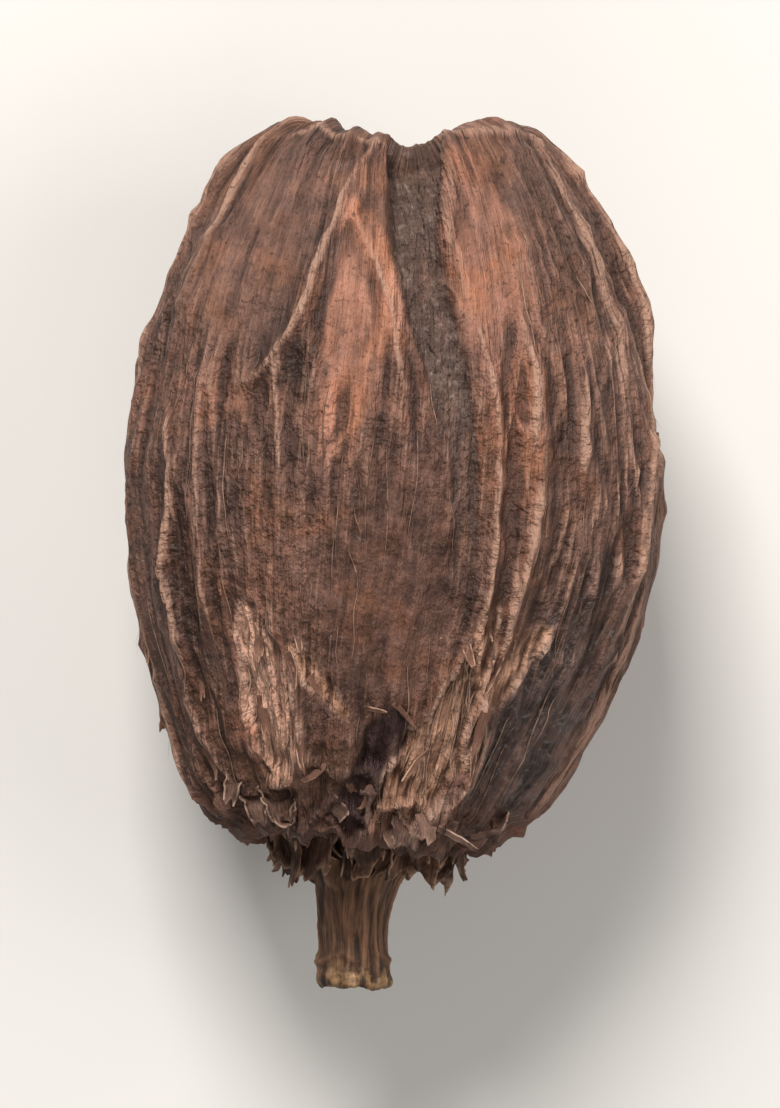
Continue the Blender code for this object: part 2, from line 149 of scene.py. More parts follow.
# Broken ridges. A strength's mean and change, its least and most, then its soft noise
RIDGES_MM = (
    ((-1.4, 12.6, 0.7, 0.28), (-2.2, 11.2, 0.7, 0.42), (-3.1, 8.4, 0.7, 0.52), (-3.5, 6.6, 0.7, 0.58),
     (-4.1, 4.6, 0.7, 0.6), (-4.3, 2.6, 0.6, 0.3), (-4.2, 0.5, 0.7, 0.49), (-3.9, -2.6, 0.7, 0.42),
     (-4.2, -5.4, 0.7, 0.21)),
    ((-3.4, 7.2, 0.5, 0.1), (-3.8, 5.5, 0.6, 0.45), (-4.5, 4.3, 0.6, 0.5), (-5.4, 3.6, 0.5, 0.3),
     (-6.2, 3.4, 0.4, 0.1)),
    ((-8.3, 2.2, 0.7, 0.21), (-8.1, -1.9, 0.7, 0.56), (-7.4, -6.3, 0.7, 0.63),
     (-6.4, -9.6, 0.7, 0.56), (-5.4, -11.6, 0.7, 0.42)),
    ((-2.1, 10.2, 0.7, 0.28), (-0.9, 8.2, 0.7, 0.35), (-0.2, 5.7, 0.7, 0.35), (0.2, 3.6, 0.7, 0.14)),
    ((1.5, 12.2, 0.7, 0.28), (1.7, 9.4, 0.7, 0.35), (2.5, 6.7, 0.7, 0.42), (3.5, 4.4, 0.7, 0.49),
     (3.9, 0.5, 0.7, 0.56), (3.85, -3.2, 0.7, 0.56), (3.5, -6.2, 0.7, 0.6), (3.6, -8.0, 0.6, 0.5),
     (3.6, -9.7, 0.5, 0.42), (2.9, -11.4, 0.45, 0.38), (2.5, -12.4, 0.4, 0.3)),
    ((4.2, 8.5, 0.7, 0.14), (4.9, 4.2, 0.7, 0.49), (5.3, 0.6, 0.7, 0.56), (5.0, -3.0, 0.7, 0.49),
     (4.3, -6.0, 0.7, 0.42)),
    ((6.3, 7.0, 0.7, 0.14), (6.9, 3.4, 0.7, 0.49), (7.1, 0.4, 0.7, 0.56), (6.8, -3.0, 0.7, 0.56),
     (5.8, -5.8, 0.7, 0.42)),
    ((8.3, 7.2, 0.7, 0.28), (9.1, 3.6, 0.7, 0.49), (9.1, -1.0, 0.7, 0.56), (8.2, -5.8, 0.7, 0.49)),
)
RIDGE_STRENGTH = (0.85, 0.8, 0.25, 1.4, 1.9 * MM, 0.5)
RIDGE_SHIFT = 61.5  # the first ridge's place in the noise
RIDGE_FOOT_SHARE = 0.68
RIDGE_FOOT_SHARPNESS = 1.4
RIDGE_CREST_SHARE = 0.3
RIDGE_CREST_WIDTH = 0.24  # of its foot's
RIDGE_SHOWN_HEIGHT = 0.45 * MM
RIDGE_SHOWN_STRENGTH = (0.45, 0.95)

# Rims of the calyx end and of the lower edge
RIMS_MM = (
    ((0.9, 13.2, 0.25, 0.1), (2.2, 13.2, 0.3, 0.2), (3.9, 13.4, 0.3, 0.25), (5.2, 12.7, 0.3, 0.2)),
    ((-4.6, 12.9, 0.25, 0.1), (-3.4, 13.1, 0.3, 0.15), (-2.0, 12.9, 0.3, 0.15),
     (-1.0, 12.6, 0.25, 0.1)),
    ((3.3, -10.8, 0.16, 0.15), (2.5, -12.3, 0.2, 0.25), (3.7, -12.8, 0.22, 0.3),
     (4.9, -12.5, 0.2, 0.25)),
)
RIM_SLOPE = (-0.1, 0.15)
RIM_STEEPNESS = (0.2, 1.0)
RIM_STRENGTH = (0.8, 0.9, 0.2, 1.2, 1.3 * MM, 0.6, 70.0)
RIM_SHOWN_HEIGHT = 0.15 * MM
# How strongly rims and side crests take the painted highlight
RIM_HIGHLIGHT = 1.3

# Crests along the sides: angle in degrees from +x, then y and height in mm at each point
SIDE_CRESTS = (
    (14.0, ((13.2, 0.2), (11.0, 0.38), (8.0, 0.38), (4.5, 0.34), (1.0, 0.2), (-1.5, 0.0))),
    (33.0, ((13.0, 0.1), (11.0, 0.26), (8.5, 0.26), (6.0, 0.15), (4.0, 0.0))),
    (167.0, ((13.0, 0.15), (11.0, 0.3), (8.0, 0.32), (5.0, 0.26), (2.5, 0.0))),
    (151.0, ((12.8, 0.1), (10.8, 0.24), (8.0, 0.22), (5.5, 0.0))),
    (165.0, ((-2.5, 0.0), (-4.5, 0.2), (-8.0, 0.3), (-11.0, 0.3), (-12.5, 0.1))),
    (18.0, ((-3.0, 0.0), (-5.0, 0.2), (-8.0, 0.26), (-11.0, 0.2), (-12.5, 0.0))),
)
SIDE_CREST_HALF_WIDTH = 0.4 * MM
SIDE_CREST_WANDER = 0.8
SIDE_CREST_SHOWN_HEIGHT = 0.2 * MM

# Places where the outer skin is torn away, with a pale lifted edge, and the recess, which is darkened as
# painted shade
TORN_MM = (
    ((3.9, -4.4, 0.25, 0.1), (3.4, -6.6, 0.55, 0.22), (2.7, -8.3, 0.8, 0.3), (1.9, -10.0, 1.2, 0.3),
     (1.0, -11.6, 1.0, 0.3), (0.6, -13.0, 0.9, 0.3)),
    ((-5.0, -4.7, 0.35, 0.1), (-4.6, -6.4, 0.8, 0.2), (-4.1, -8.3, 0.9, 0.26),
     (-3.8, -10.6, 0.8, 0.26)),
    ((-3.4, -6.2, 0.25, 0.1), (-2.4, -7.3, 0.4, 0.14), (-1.4, -8.4, 0.3, 0.1)),
    ((5.9, -5.0, 0.25, 0.1), (4.9, -6.4, 0.35, 0.12), (4.1, -7.6, 0.35, 0.12)),
)
RECESS_MM = ((0.5, -8.7, 0.7, 0.15), (0.2, -9.6, 0.85, 0.35), (-0.3, -10.7, 0.8, 0.4),
             (-0.9, -12.2, 0.9, 0.35))
TEAR_RAGGED = ((0.3, 0.9 * MM, 0.6, 17.0), (0.16, 0.32 * MM, 0.6, 18.0))
TEAR_BORDER = (0.84, 1.0)
TEAR_EDGE = (1.04, 0.12)  # its place and half width
RECESS_BORDER = (0.65, 1.1)
EDGE_BREAKS = (0.7 * MM, 0.7, 19.0)
EDGE_SHOWN = (-0.25, 0.3)
EDGE_HEIGHT = 0.09 * MM

# Small torn places round the sides and back
SIDE_TEAR_COUNT = 9
SIDE_TEAR_SEED = 23
SIDE_TEAR_START = math.radians(165.0)
SIDE_TEAR_SPAN = math.radians(210.0)
SIDE_TEAR_JITTER = (0.1, 0.9)
SIDE_TEAR_Y = (-10.0 * MM, 8.0 * MM)
SIDE_TEAR_HALF_WIDTH = (0.35 * MM, 0.8 * MM)
SIDE_TEAR_HALF_LENGTH = (1.2 * MM, 3.4 * MM)
SIDE_TEAR_DEPTH = 0.2 * MM
SIDE_TEAR_RAGGED = ((0.3, 0.8 * MM, 0.5, 31.0),)
SIDE_TEAR_BORDER = (0.8, 1.05)
SIDE_TEAR_EDGE = (0.25, 0.2)

# Fine crests along the husk: spacing, length and place in the noise, and for some a breadth
GRAIN_RADIUS = 9.0 * MM
CREST_BREADTH = 0.34
CREST_SHARPNESS = 1.5
VEINS = (1.15 * MM, 8.0 * MM, 21.0)
VEIN_HEIGHT = 0.2 * MM
VEIN_STRENGTH = (0.7, 0.9, 0.1, 1.3, 2.4 * MM, 0.5, 25.0)
# How strongly veins take the painted highlight
VEIN_HIGHLIGHT = 0.3
CRIMPS = (0.75 * MM, 7.0 * MM, 23.0, 0.22)
CRIMP_HEIGHT = 0.17 * MM
CRIMP_LEAST_SHARE = 0.3
# How strongly crimps take the painted highlight, outside and inside the crimped strokes
CRIMP_HIGHLIGHT = (0.12, 0.72)
FIBRES = (0.42 * MM, 5.0 * MM, 22.0)
FIBRE_HEIGHT = 0.075 * MM
FIBRE_SHARE_AT_ENDS = 0.3
FIBRE_SHARE_IN_CALM = 0.6
STRANDS = (0.3 * MM, 3.2 * MM, 24.0)
STRAND_HEIGHT = 0.14 * MM
SHALLOW_FOLDS = (2.6 * MM, 4.5 * MM, 35.0, 0.16)
SHALLOW_FOLD_HEIGHT = 0.16 * MM
SHALLOW_FOLD_SHARE_IN_TEARS = 0.2
CRUMPLE = ((0.045 * MM, 0.5 * MM, 0.7, 26.0),)
# Smoother patches of the upper side: x, y, half width, half length
SMOOTH_PATCHES_MM = ((-5.6, 8.6, 2.6, 4.2), (3.3, 8.6, 1.9, 4.0), (0.0, -3.6, 2.6, 4.6),
                     (5.9, -10.0, 2.0, 3.2))
FINE_PATCHES_MM = ((-5.6, 8.6, 2.4, 4.2), (3.3, 8.6, 1.7, 4.0), (-1.5, 7.4, 1.5, 4.6),
                   (0.0, -3.6, 2.6, 4.6), (5.9, -10.0, 2.0, 3.2))
FINE_PATCH_CALM = 0.7
CRIMPED_MM = ((5.6, 6.5, 1.8, 0.6), (6.3, 3.0, 2.9, 1.0), (6.4, -1.0, 3.0, 1.0), (5.6, -5.4, 2.2, 0.8),
              (4.4, -8.6, 1.2, 0.4))

# The crumpled husk over the stalk, and the folds that close in on it
CRUMPLED_MM = ((-6.0, -10.6, 0.8, 0.5), (-4.6, -11.7, 1.4, 0.8), (-2.4, -11.6, 1.7, 1.0),
               (-0.4, -11.6, 1.7, 1.0), (1.4, -12.7, 1.1, 0.9), (3.2, -13.0, 0.8, 0.7))
FOLDS = (1.7 * MM, 1.7 * MM, 29.0, 0.24)
FOLD_HEIGHT = 0.5 * MM
# How strongly fold crests take the painted highlight
FOLD_HIGHLIGHT = 0.7
CRUSH = ((0.2 * MM, 0.7 * MM, 0.75, 30.0),)
SHRINK_DEPTH = 0.25 * MM
FOOT_Y = (-11.0 * MM, -12.8 * MM)
FOOT_GIRTH = (2.2 * MM, 3.2 * MM)
FOOT_FOLDS = (1.2 * MM, 1.2 * MM, 36.0, 0.2)
FOOT_FOLD_HEIGHT = 0.3 * MM
FOOT_FOLD_LOWERED = 0.12 * MM
FOOT_CRUMPLE = ((0.1 * MM, 0.42 * MM, 1.0, 37.0),)

# Which places the finish takes for hollows, where it paints shade, and for crests, where it paints a
# highlight; and for the foot and the calyx scar
HOLLOW_REACH = 5  # in columns
HUSK_HOLLOW_DEPTH = 0.12 * MM
STALK_HOLLOW_DEPTH = 0.06 * MM
FOOT_COLOUR_Y = (-10.6 * MM, -12.6 * MM)
SCAR_Y = (11.0 * MM, 12.0 * MM)
SCAR_GIRTH = (3.9 * MM, 2.6 * MM)

# Strokes of colour on the upper side
FLUSHED_MM = (
    ((-2.0, 10.4, 0.3, 0.9), (-1.5, 8.8, 0.95, 1.1), (-1.4, 6.8, 1.4, 1.2), (-1.8, 4.6, 1.35, 1.0),
     (-2.2, 2.4, 1.0, 0.8), (-2.0, 0.2, 0.7, 0.4)),
    ((-4.2, 12.2, 1.0, 0.05), (-5.4, 10.4, 1.9, 0.08), (-6.3, 7.4, 2.1, 0.08), (-6.7, 4.4, 1.6, 0.05)),
    ((1.9, 12.2, 0.6, 0.6), (2.5, 10.4, 1.2, 0.82), (3.2, 8.0, 1.6, 0.82), (4.0, 5.6, 1.3, 0.8),
     (4.4, 3.4, 1.0, 0.75), (4.7, 0.8, 0.8, 0.5), (4.6, -2.0, 0.6, 0.3)),
    ((-4.9, -4.4, 0.5, 0.6), (-4.4, -7.2, 1.1, 1.25), (-4.0, -10.2, 1.1, 0.9)),
)
# Dark strokes: darker husk, and in the one along the left edge painted shade
DARK_AND_SHADED_MM = (
    ((-3.1, 8.2, 0.3, 0.8), (-3.3, 6.2, 0.55, 1.0), (-3.6, 3.8, 0.7, 0.9), (-3.4, 1.0, 0.5, 0.5)),
    ((1.4, 2.6, 0.6, 0.3), (0.8, 0.6, 1.8, 0.45), (0.4, -2.6, 2.5, 0.55), (0.3, -6.2, 2.3, 0.6),
     (0.6, -8.2, 1.2, 0.5)),
    # Along the left edge: painted shade
    ((-8.8, 4.0, 0.7, 0.5), (-8.9, 0.0, 1.1, 0.8), (-8.0, -4.6, 1.5, 0.8), (-7.0, -9.0, 1.5, 0.9),
     (-5.6, -12.0, 1.4, 0.9)),
    ((-5.8, 0.6, 0.6, 0.3), (-6.0, -3.4, 0.9, 0.5), (-5.6, -7.4, 0.7, 0.4)),
    ((1.4, -11.6, 1.0, 0.3), (3.0, -12.4, 1.6, 0.7), (4.8, -12.6, 1.4, 0.8)),
)
# Ashen strokes: grey husk; the one down the lower right lobe is also a painted shadow
ASHEN_AND_SHADOWED_MM = (
    ((4.9, 12.4, 0.6, 0.15), (6.6, 9.4, 1.0, 0.25), (7.4, 6.4, 1.1, 0.25), (7.8, 3.0, 0.9, 0.15)),
    # Down the lower right lobe: grey husk, darkened as a painted shadow
    ((7.8, -2.6, 0.8, 0.4), (7.0, -5.6, 1.5, 0.9), (6.1, -9.2, 2.2, 1.0), (5.0, -12.4, 1.8, 0.9)),
    ((-4.1, 12.8, 0.6, 0.3), (-2.2, 12.4, 0.9, 0.4), (-1.5, 11.0, 0.5, 0.2)),
)

# The stalk's ribs and fibres, its two uneven rings (y and height), and its crusty cut end
STALK_GRAIN_RADIUS = 1.3 * MM
STALK_RIBS = (0.75 * MM, 6.0 * MM, 41.0)
STALK_RIB_HEIGHT = 0.13 * MM
STALK_FIBRES = (0.3 * MM, 3.0 * MM, 42.0)
STALK_FIBRE_HEIGHT = 0.05 * MM
STALK_BUMPS = ((0.1 * MM, 1.1 * MM, 0.6, 43.0),)
STALK_RINGS_AT = ((-14.7 * MM, 0.1 * MM), (-17.9 * MM, 0.16 * MM))
RING_NOISE = (0.9 * MM, 1.0, 46.0)
RING_WANDER = 0.5 * MM
RING_HALF_WIDTH = 0.2 * MM
RING_MEAN_STRENGTH = 0.6
RING_CHANGE = 1.2
RING_MOST_STRENGTH = 1.2
CUT_SLOPE = (0.75, 0.97)
CUT_START = -18.0 * MM
CUT_COLOUR_Y = (-17.7 * MM, -18.7 * MM)
CUT_BUMPS = ((0.16 * MM, 0.5 * MM, 1.0, 45.0),)
CRUST = (0.34 * MM, 1.0, 44.0)
CRUST_HEIGHT = 0.09 * MM
CRUST_LEAST_SHARE = 0.35
CRUST_Y = (-17.6 * MM, -18.6 * MM)
PIT_STRENGTH = 2.0

# Strips of husk: the thickness, crumple and seed of each kind
SKIRT_SHEET = (0.14 * MM, 0.26 * MM, 91)
SCALE_SHEET = (0.09 * MM, 0.14 * MM, 93)
CURL_SHEET = (0.07 * MM, 0.07 * MM, 94)
FLAP_SHEET = (0.09 * MM, 0.16 * MM, 95)
TOOTH_SHEET = (0.1 * MM, 0.05 * MM, 82)
STRIP_DIVISIONS = (9, 15)
STRIP_NOTCHES = ((1.0, 3.0, 2.0), (0.45, 9.0, 7.0))  # depth, number across, place in the noise
STRIP_REACH = (0.86, 0.36)  # mean, and change by the notches
STRIP_FRAY = (0.3, 6.0)  # depth, number along
STRIP_CRUMPLES = ((1.0, 0.8 * MM), (0.5, 0.33 * MM))
STRIP_TAPER = 1.5
STRIP_ROLL = (-0.7, 1.2)
STRIP_SHIFT = (50.0, 3.1)  # the first strip's place in the noise, and the step to the next
ROLL_SHARPNESS = 2.5
ROLL_RISE = 0.3
ROLL_NARROWING = 0.35
PATH_STEPS = 24
CURL_SHARPNESS = 1.6

# The skirt of torn husk round the stalk, as the frame's solid has it
SKIRT = SimpleNamespace(
    count=20, seed=7, jitter=(-0.35, 0.35), length=(2.6 * MM, 4.4 * MM), width=(1.3 * MM, 2.4 * MM),
    curl=(-0.15, 0.4), bend=(-0.3, 0.3), twist=(-0.7, 0.7), lean=(-0.6, 0.1),
    reach=(2.3 * MM, 3.7 * MM), root_y=-12.8 * MM, root_share=0.38, tip=0.6, curl_gain=2.0, sway_gain=1.2,
)
# Smaller scales of husk that close in on the stalk's root
SCALES = SimpleNamespace(
    count=40, seed=92, jitter=(-0.5, 0.5), reach=(1.8 * MM, 4.2 * MM), length=(1.1 * MM, 2.7 * MM),
    lean=(-0.1, 0.3), lean_in=0.16 / MM, side_lean=(-0.4, 0.4), root_y=-12.9 * MM,
    curls=(-0.5, -0.3, 0.3, 0.7, 1.6), curl_share=(0.6, 1.2), lift=(-0.1, 0.2), sway=(-0.7, 0.7),
    width=(0.6 * MM, 1.6 * MM), tip=(0.35, 0.8), twist=(-0.8, 0.8),
)
# Broken teeth of the dried flower's base, in the scar
TEETH = SimpleNamespace(
    count=22, seed=81, jitter=(-0.4, 0.4), inner_reach=(0.7 * MM, 1.3 * MM),
    outer_reach=(1.7 * MM, 2.6 * MM), root_x=-0.3 * MM, root_y=11.6 * MM, lean=(-0.5, 0.3),
    length=(0.7 * MM, 1.5 * MM), curl=(-1.2, 0.8), sway=(-0.6, 0.6), width=(0.3 * MM, 0.7 * MM),
    tip=0.35, twist=(-0.5, 0.5),
)

# Curled bits of skin at the tears: x, y, heading in degrees from +x, length, width, curl
CURLS_MM = (
    (-0.5, -8.3, 8, 1.3, 0.22, 0.5),
    (0.6, -8.15, -38, 1.4, 0.25, 0.7),
    (3.9, -4.3, -100, 1.6, 0.5, 0.8),
    (4.3, -6.2, -110, 1.8, 0.6, 0.9),
    (3.1, -5.9, -70, 1.2, 0.5, 1.2),
    (3.9, -8.2, -112, 2.2, 0.6, 0.7),
    (1.9, -9.9, -120, 1.9, 0.6, 1.0),
    (-4.9, -5.2, -80, 1.9, 0.7, 0.8),
    (-3.5, -6.5, -62, 1.7, 0.6, 1.2),
    (-2.6, -7.3, -40, 1.4, 0.5, 1.0),
    (-4.4, -8.2, -86, 1.8, 0.6, 1.0),
    (-3.0, -9.6, -95, 1.7, 0.6, 0.9),
    (1.1, -5.3, -14, 1.4, 0.3, 0.8),
    (-6.9, -7.4, -75, 1.3, 0.4, 1.0),
    (-3.3, -5.6, -70, 1.3, 0.4, 1.2),
    (-6.5, -10.2, -70, 1.5, 0.5, 0.8),
    (-1.0, -11.1, -60, 0.9, 0.5, 1.5),
    (-0.4, -11.7, -120, 0.8, 0.4, 1.6),
    (-2.2, -10.6, -95, 1.2, 0.5, 1.2),
    (3.6, -9.6, -95, 1.6, 0.4, 0.6),
)

# Flaps of torn husk over the stalk's root: x, y, heading in degrees, length, width, lift, curl
FLAPS_MM = (
    (-5.4, -11.2, -100, 1.5, 0.9, -0.1, 0.3),
    (-4.6, -11.9, -60, 1.6, 1.4, 0.0, 0.7),
    (-3.6, -12.1, -80, 1.6, 2.0, 0.1, 1.2),
    (-2.7, -12.3, -108, 1.9, 1.1, -0.4, -0.5),
    (-1.9, -12.5, -55, 2.2, 0.9, -0.6, -0.3),
    (-1.5, -12.0, -20, 1.3, 0.8, 0.3, 1.7),
    (-0.8, -12.6, -92, 1.9, 0.9, -0.3, 0.4),
    (-0.2, -11.4, -100, 1.0, 0.6, 0.5, 1.8),
    (0.5, -12.6, -75, 1.6, 0.8, 0.1, 1.3),
    (1.1, -12.5, -88, 1.5, 1.0, 0.0, 0.8),
    (1.9, -12.4, -70, 1.3, 0.9, 0.1, 1.0),
    (2.7, -12.6, -100, 1.4, 0.9, -0.3, -0.2),
    (2.6, -12.8, -24, 1.9, 0.28, 0.1, 0.3),
    (3.9, -12.9, 14, 1.4, 0.25, 0.1, 0.3),
    (4.7, -12.2, -70, 1.0, 0.9, 0.1, 0.9),
)

# How curls and flaps lie: how far their roots are drawn back and sunk, and how they bend.
# Turns are in degrees, here and for the loose fibres
CURLS = SimpleNamespace(
    seed=61, back=0.2 * MM, sunk=0.06 * MM, lift=0.05, sway=(-0.5, 0.5), tip=0.3, twist=(-0.4, 0.4),
)
SIDE_CURLS = SimpleNamespace(
    count=34, turn=(168.0, 372.0), y=(-11.5 * MM, 10.5 * MM), sideways=(-0.5, 0.5),
    length=(0.7 * MM, 1.7 * MM), least_height=1.2 * MM, back=0.15 * MM, sunk=0.06 * MM, lift=0.03,
    curl=(0.2, 0.9), sway=(-0.6, 0.6), width=(0.25 * MM, 0.6 * MM), tip=0.3, twist=(-0.4, 0.4),
)
FLAPS = SimpleNamespace(
    seed=63, upright=1.2, back=0.3 * MM, sunk=0.1 * MM, sway=(-0.4, 0.4), tip=0.6, twist=(-0.5, 0.5),
)

# Loose fibres along the husk. For each with a lifted tip, as many others lie flat as given
LOOSE = SimpleNamespace(
    count=150, count_in_tears=70, seed=71, place_in_tear=(0.1, 0.95), across_tear=(-0.8, 0.8),
    start_ahead=0.8 * MM, length_in_tear=(1.2 * MM, 3.2 * MM), turn=(-30.0, 210.0),
    y=(-9.5 * MM, 11.0 * MM), length=(1.5 * MM, 6.0 * MM), end_y=-12.6 * MM, drift=(-0.06, 0.06),
    lift=(0.1 * MM, 0.5 * MM), flat_for_each=3, radius=(0.014 * MM, 0.03 * MM), gain_in_tear=1.4,
    brightest=0.6,
)
FIBRE_SIDES = 5
FIBRE_RINGS = 12
FIBRE_ENDS = (6.0, 2.5)  # how fast it swells from its root, and thins to its tip
DRAPE_STEPS = 14
DRAPE_HEIGHT = 0.03 * MM
DRAPE_WAVES = (0.008, 7.0, 40.0)  # turn, waves along it, and their shift by where it starts
LIFTED_FROM = 0.7
RAY_START = 0.05  # from where a ray looks for the husk

# The camera looks straight down. In the photo the pod's calyx end leans right
CAMERA_HEIGHT = 0.36
LENS = 200.0
SENSOR_HEIGHT = 24.0
CLIP_START = 0.01
POD_LEAN = math.radians(2.96)

# Soft light from beyond the calyx end, a weaker one from the right, one from the stalk's side
LIGHTS = (  # name, place, size, power
    ("key", (-0.08, 0.26, 0.27), 0.14, 1.7),
    ("fill", (0.26, 0.02, 0.24), 0.2, 0.42),
    ("back", (0.02, -0.28, 0.2), 0.2, 0.2),
)
LIGHT_COLOUR = (1.0, 0.965, 0.92)
SKY_COLOUR = (1.0, 0.98, 0.95)
SKY_STRENGTH = 0.17
FLOOR_SIZE = 3.0
FLOOR_COLOUR = (0.78, 0.77, 0.75)
FLOOR_ROUGHNESS = 0.85

# The two colour sockets of a Mix node
UNDER_SOCKET = 6
OVER_SOCKET = 7

# Finishes. A value is a mask that the piece keeps, or one of the finish's own noises or sums.
# In a share or a sum, (value, low, high) is the value's place from low to high, held within 0
# and 1 or within the two numbers that follow. A share is a product, and a sum adds products.
# noises: coordinates, scale, detail, roughness, distortion. layers: what is made, its share,
# what is under, what is laid over it, and for some the way. bump: strength, distance.
# off_middle and along are a place's distance from the middle of its strip, and from its root.
HUSK_FINISH = dict(
    noises={
        "streaks": ("grain", (2.3, 0.24, 2.3), 4.0, 0.62),
        "threads": ("grain", (7.0, 0.55, 7.0), 3.0, 0.6),
        "hairs": ("grain", (18.0, 1.1, 18.0), 2.0, 0.55),
        "warts": ("grain", (3.4, 2.2, 3.4), 3.0, 0.55),
        "blotches": ("place", 300.0, 4.0, 0.6, 0.5),
        "mottle": ("place", 1100.0, 5.0, 0.72),
        "specks": ("place", 4200.0, 2.0, 0.5),
        "hue": ("place", 430.0, 3.0, 0.55, 0.3),
    },
    sums={
        "ground": ((("mottle", 0.36, 0.64), 0.5), (("streaks", 0.36, 0.64), 0.5)),
        "flushed": (("flush",), (("blotches", 0.54, 0.68, 0.0, 0.5),)),
        # The dark strokes: darker husk, and painted shade along the left edge
        "dark_and_shaded": (("dark",), (("blotches", 0.46, 0.33, 0.0, 0.55), ("flush", 0.2, 1.2, 1.0, 0.2))),
        "lively": ((("calm", 0.0, 1.0, 1.0, 0.45),),),
        # raised and crest: where the painted highlight falls, on ridges, rims, veins and fold crests, and on
        # places above their surroundings
        "raised": (("ridge",), (("hollow", -0.4, -1.0, 0.0, 0.25),)),
        "crest": (("raised", ("threads", 0.34, 0.6, 0.4, 1.15)),),
    },
    layers=(
        ("husk", ("ground",), (0.076, 0.036, 0.0255), (0.275, 0.14, 0.1)),
        ("salmon", (("streaks", 0.34, 0.6),), (0.27, 0.12, 0.077), (0.5, 0.23, 0.155)),
        ("salmon", (("flush", 0.8, 1.2), ("streaks", 0.4, 0.58, 0.1, 0.75)), "salmon", (0.62, 0.29, 0.19)),
        ("husk", ("flushed", ("mottle", 0.3, 0.55, 0.6, 1.0)), "husk", "salmon"),
        ("dusk", (("mottle", 0.36, 0.62),), (0.052, 0.024, 0.017), (0.16, 0.075, 0.052)),
        # Darker husk, and painted shade along the left edge
        ("husk", ("dark_and_shaded",), "husk", "dusk"),
        # Grey husk, and on the lower right lobe a painted shadow
        ("ashes", (("mottle", 0.41, 0.62),), (0.015, 0.0095, 0.0088), (0.128, 0.083, 0.075)),
        ("husk", ("ash", ("streaks", 0.62, 0.4, 0.6, 1.0)), "husk", "ashes"),
        ("husk", (("hue", 0.5, 0.63, 0.0, 0.75),), "husk", (1.0, 0.86, 0.68), "MULTIPLY"),
        ("husk", (("hue", 0.48, 0.35, 0.0, 0.75),), "husk", (0.72, 0.76, 0.84), "MULTIPLY"),
        ("husk", (("threads", 0.46, 0.33, 0.0, 0.62), "lively"), "husk", (0.042, 0.02, 0.014)),
        ("husk", (("threads", 0.54, 0.68, 0.0, 0.42), "lively"), "husk", (0.46, 0.255, 0.18)),
        # Painted shade in the hollows
        ("husk", (("hollow", 0.05, 0.8, 0.0, 0.74),), "husk", (0.028, 0.013, 0.0095)),
        # Painted highlight on the crests
        ("husk", (("crest", 0.32, 0.9, 0.0, 0.86),), "husk", (0.45, 0.262, 0.188)),
        ("crumbs", (("specks", 0.52, 0.7),), (0.15, 0.094, 0.076), (0.285, 0.207, 0.175)),
        ("crumbs", (("mottle", 0.56, 0.4, 0.0, 0.75),), "crumbs", (0.058, 0.036, 0.027)),
        ("crumbs", (("streaks", 0.5, 0.36, 0.0, 0.5),), "crumbs", (0.05, 0.029, 0.022)),
        ("husk", ("channel", ("blotches", 0.6, 0.4, 0.6, 0.95)), "husk", "crumbs"),
        ("crushed", (("mottle", 0.42, 0.62),), (0.04, 0.019, 0.012), (0.2, 0.105, 0.07)),
        ("husk", ("crush", 0.7), "husk", "crushed"),
        ("tan", ("strand",), (0.28, 0.126, 0.07), (0.72, 0.4, 0.265)),
        ("tan", (("hairs", 0.42, 0.62, 0.0, 0.75),), "tan", (0.78, 0.47, 0.33)),
        ("tan", (("mottle", 0.5, 0.34, 0.0, 0.7),), "tan", (0.12, 0.05, 0.026)),
        ("tan", ("flush", 0.75), "tan", (0.86, 0.5, 0.37)),
        # Painted shade in the hollows of the torn places
        ("tan", (("hollow", 0.1, 0.9, 0.0, 0.75),), "tan", (0.06, 0.026, 0.015)),
        ("husk", ("torn",), "husk", "tan"),
        ("husk", (("foot", 0.35, 1.0, 0.0, 0.7),), "husk", "dusk"),
        # Painted shade in the recess
        ("husk", ("recess", 0.9), "husk", (0.04, 0.018, 0.017)),
        ("husk", ("edge", ("threads", 0.3, 0.55, 0.2, 0.95)), "husk", (0.6, 0.38, 0.29)),
        ("husk", ("scar", 0.8), "husk", "tan"),
        # Painted glints: pale grey specks on the ashen places
        ("husk", (("specks", 0.6, 0.68), "ash", 0.4), "husk", (0.22, 0.21, 0.2)),
        ("husk", (("specks", 0.37, 0.29, 0.0, 0.6),), "husk", (0.028, 0.016, 0.013)),
    ),
    roughness=((("mottle", 0.35, 0.65, 0.48, 0.68),), ("torn", 0.16)),
    specular=0.36,
    height=(("threads", 0.7), ("mottle", 0.4), ("specks", 0.18), ("hairs", 0.2),
            (("warts", 0.4, 0.66, 0.0, 0.5), "lively")),
    bump=(0.9, 0.00028),
)
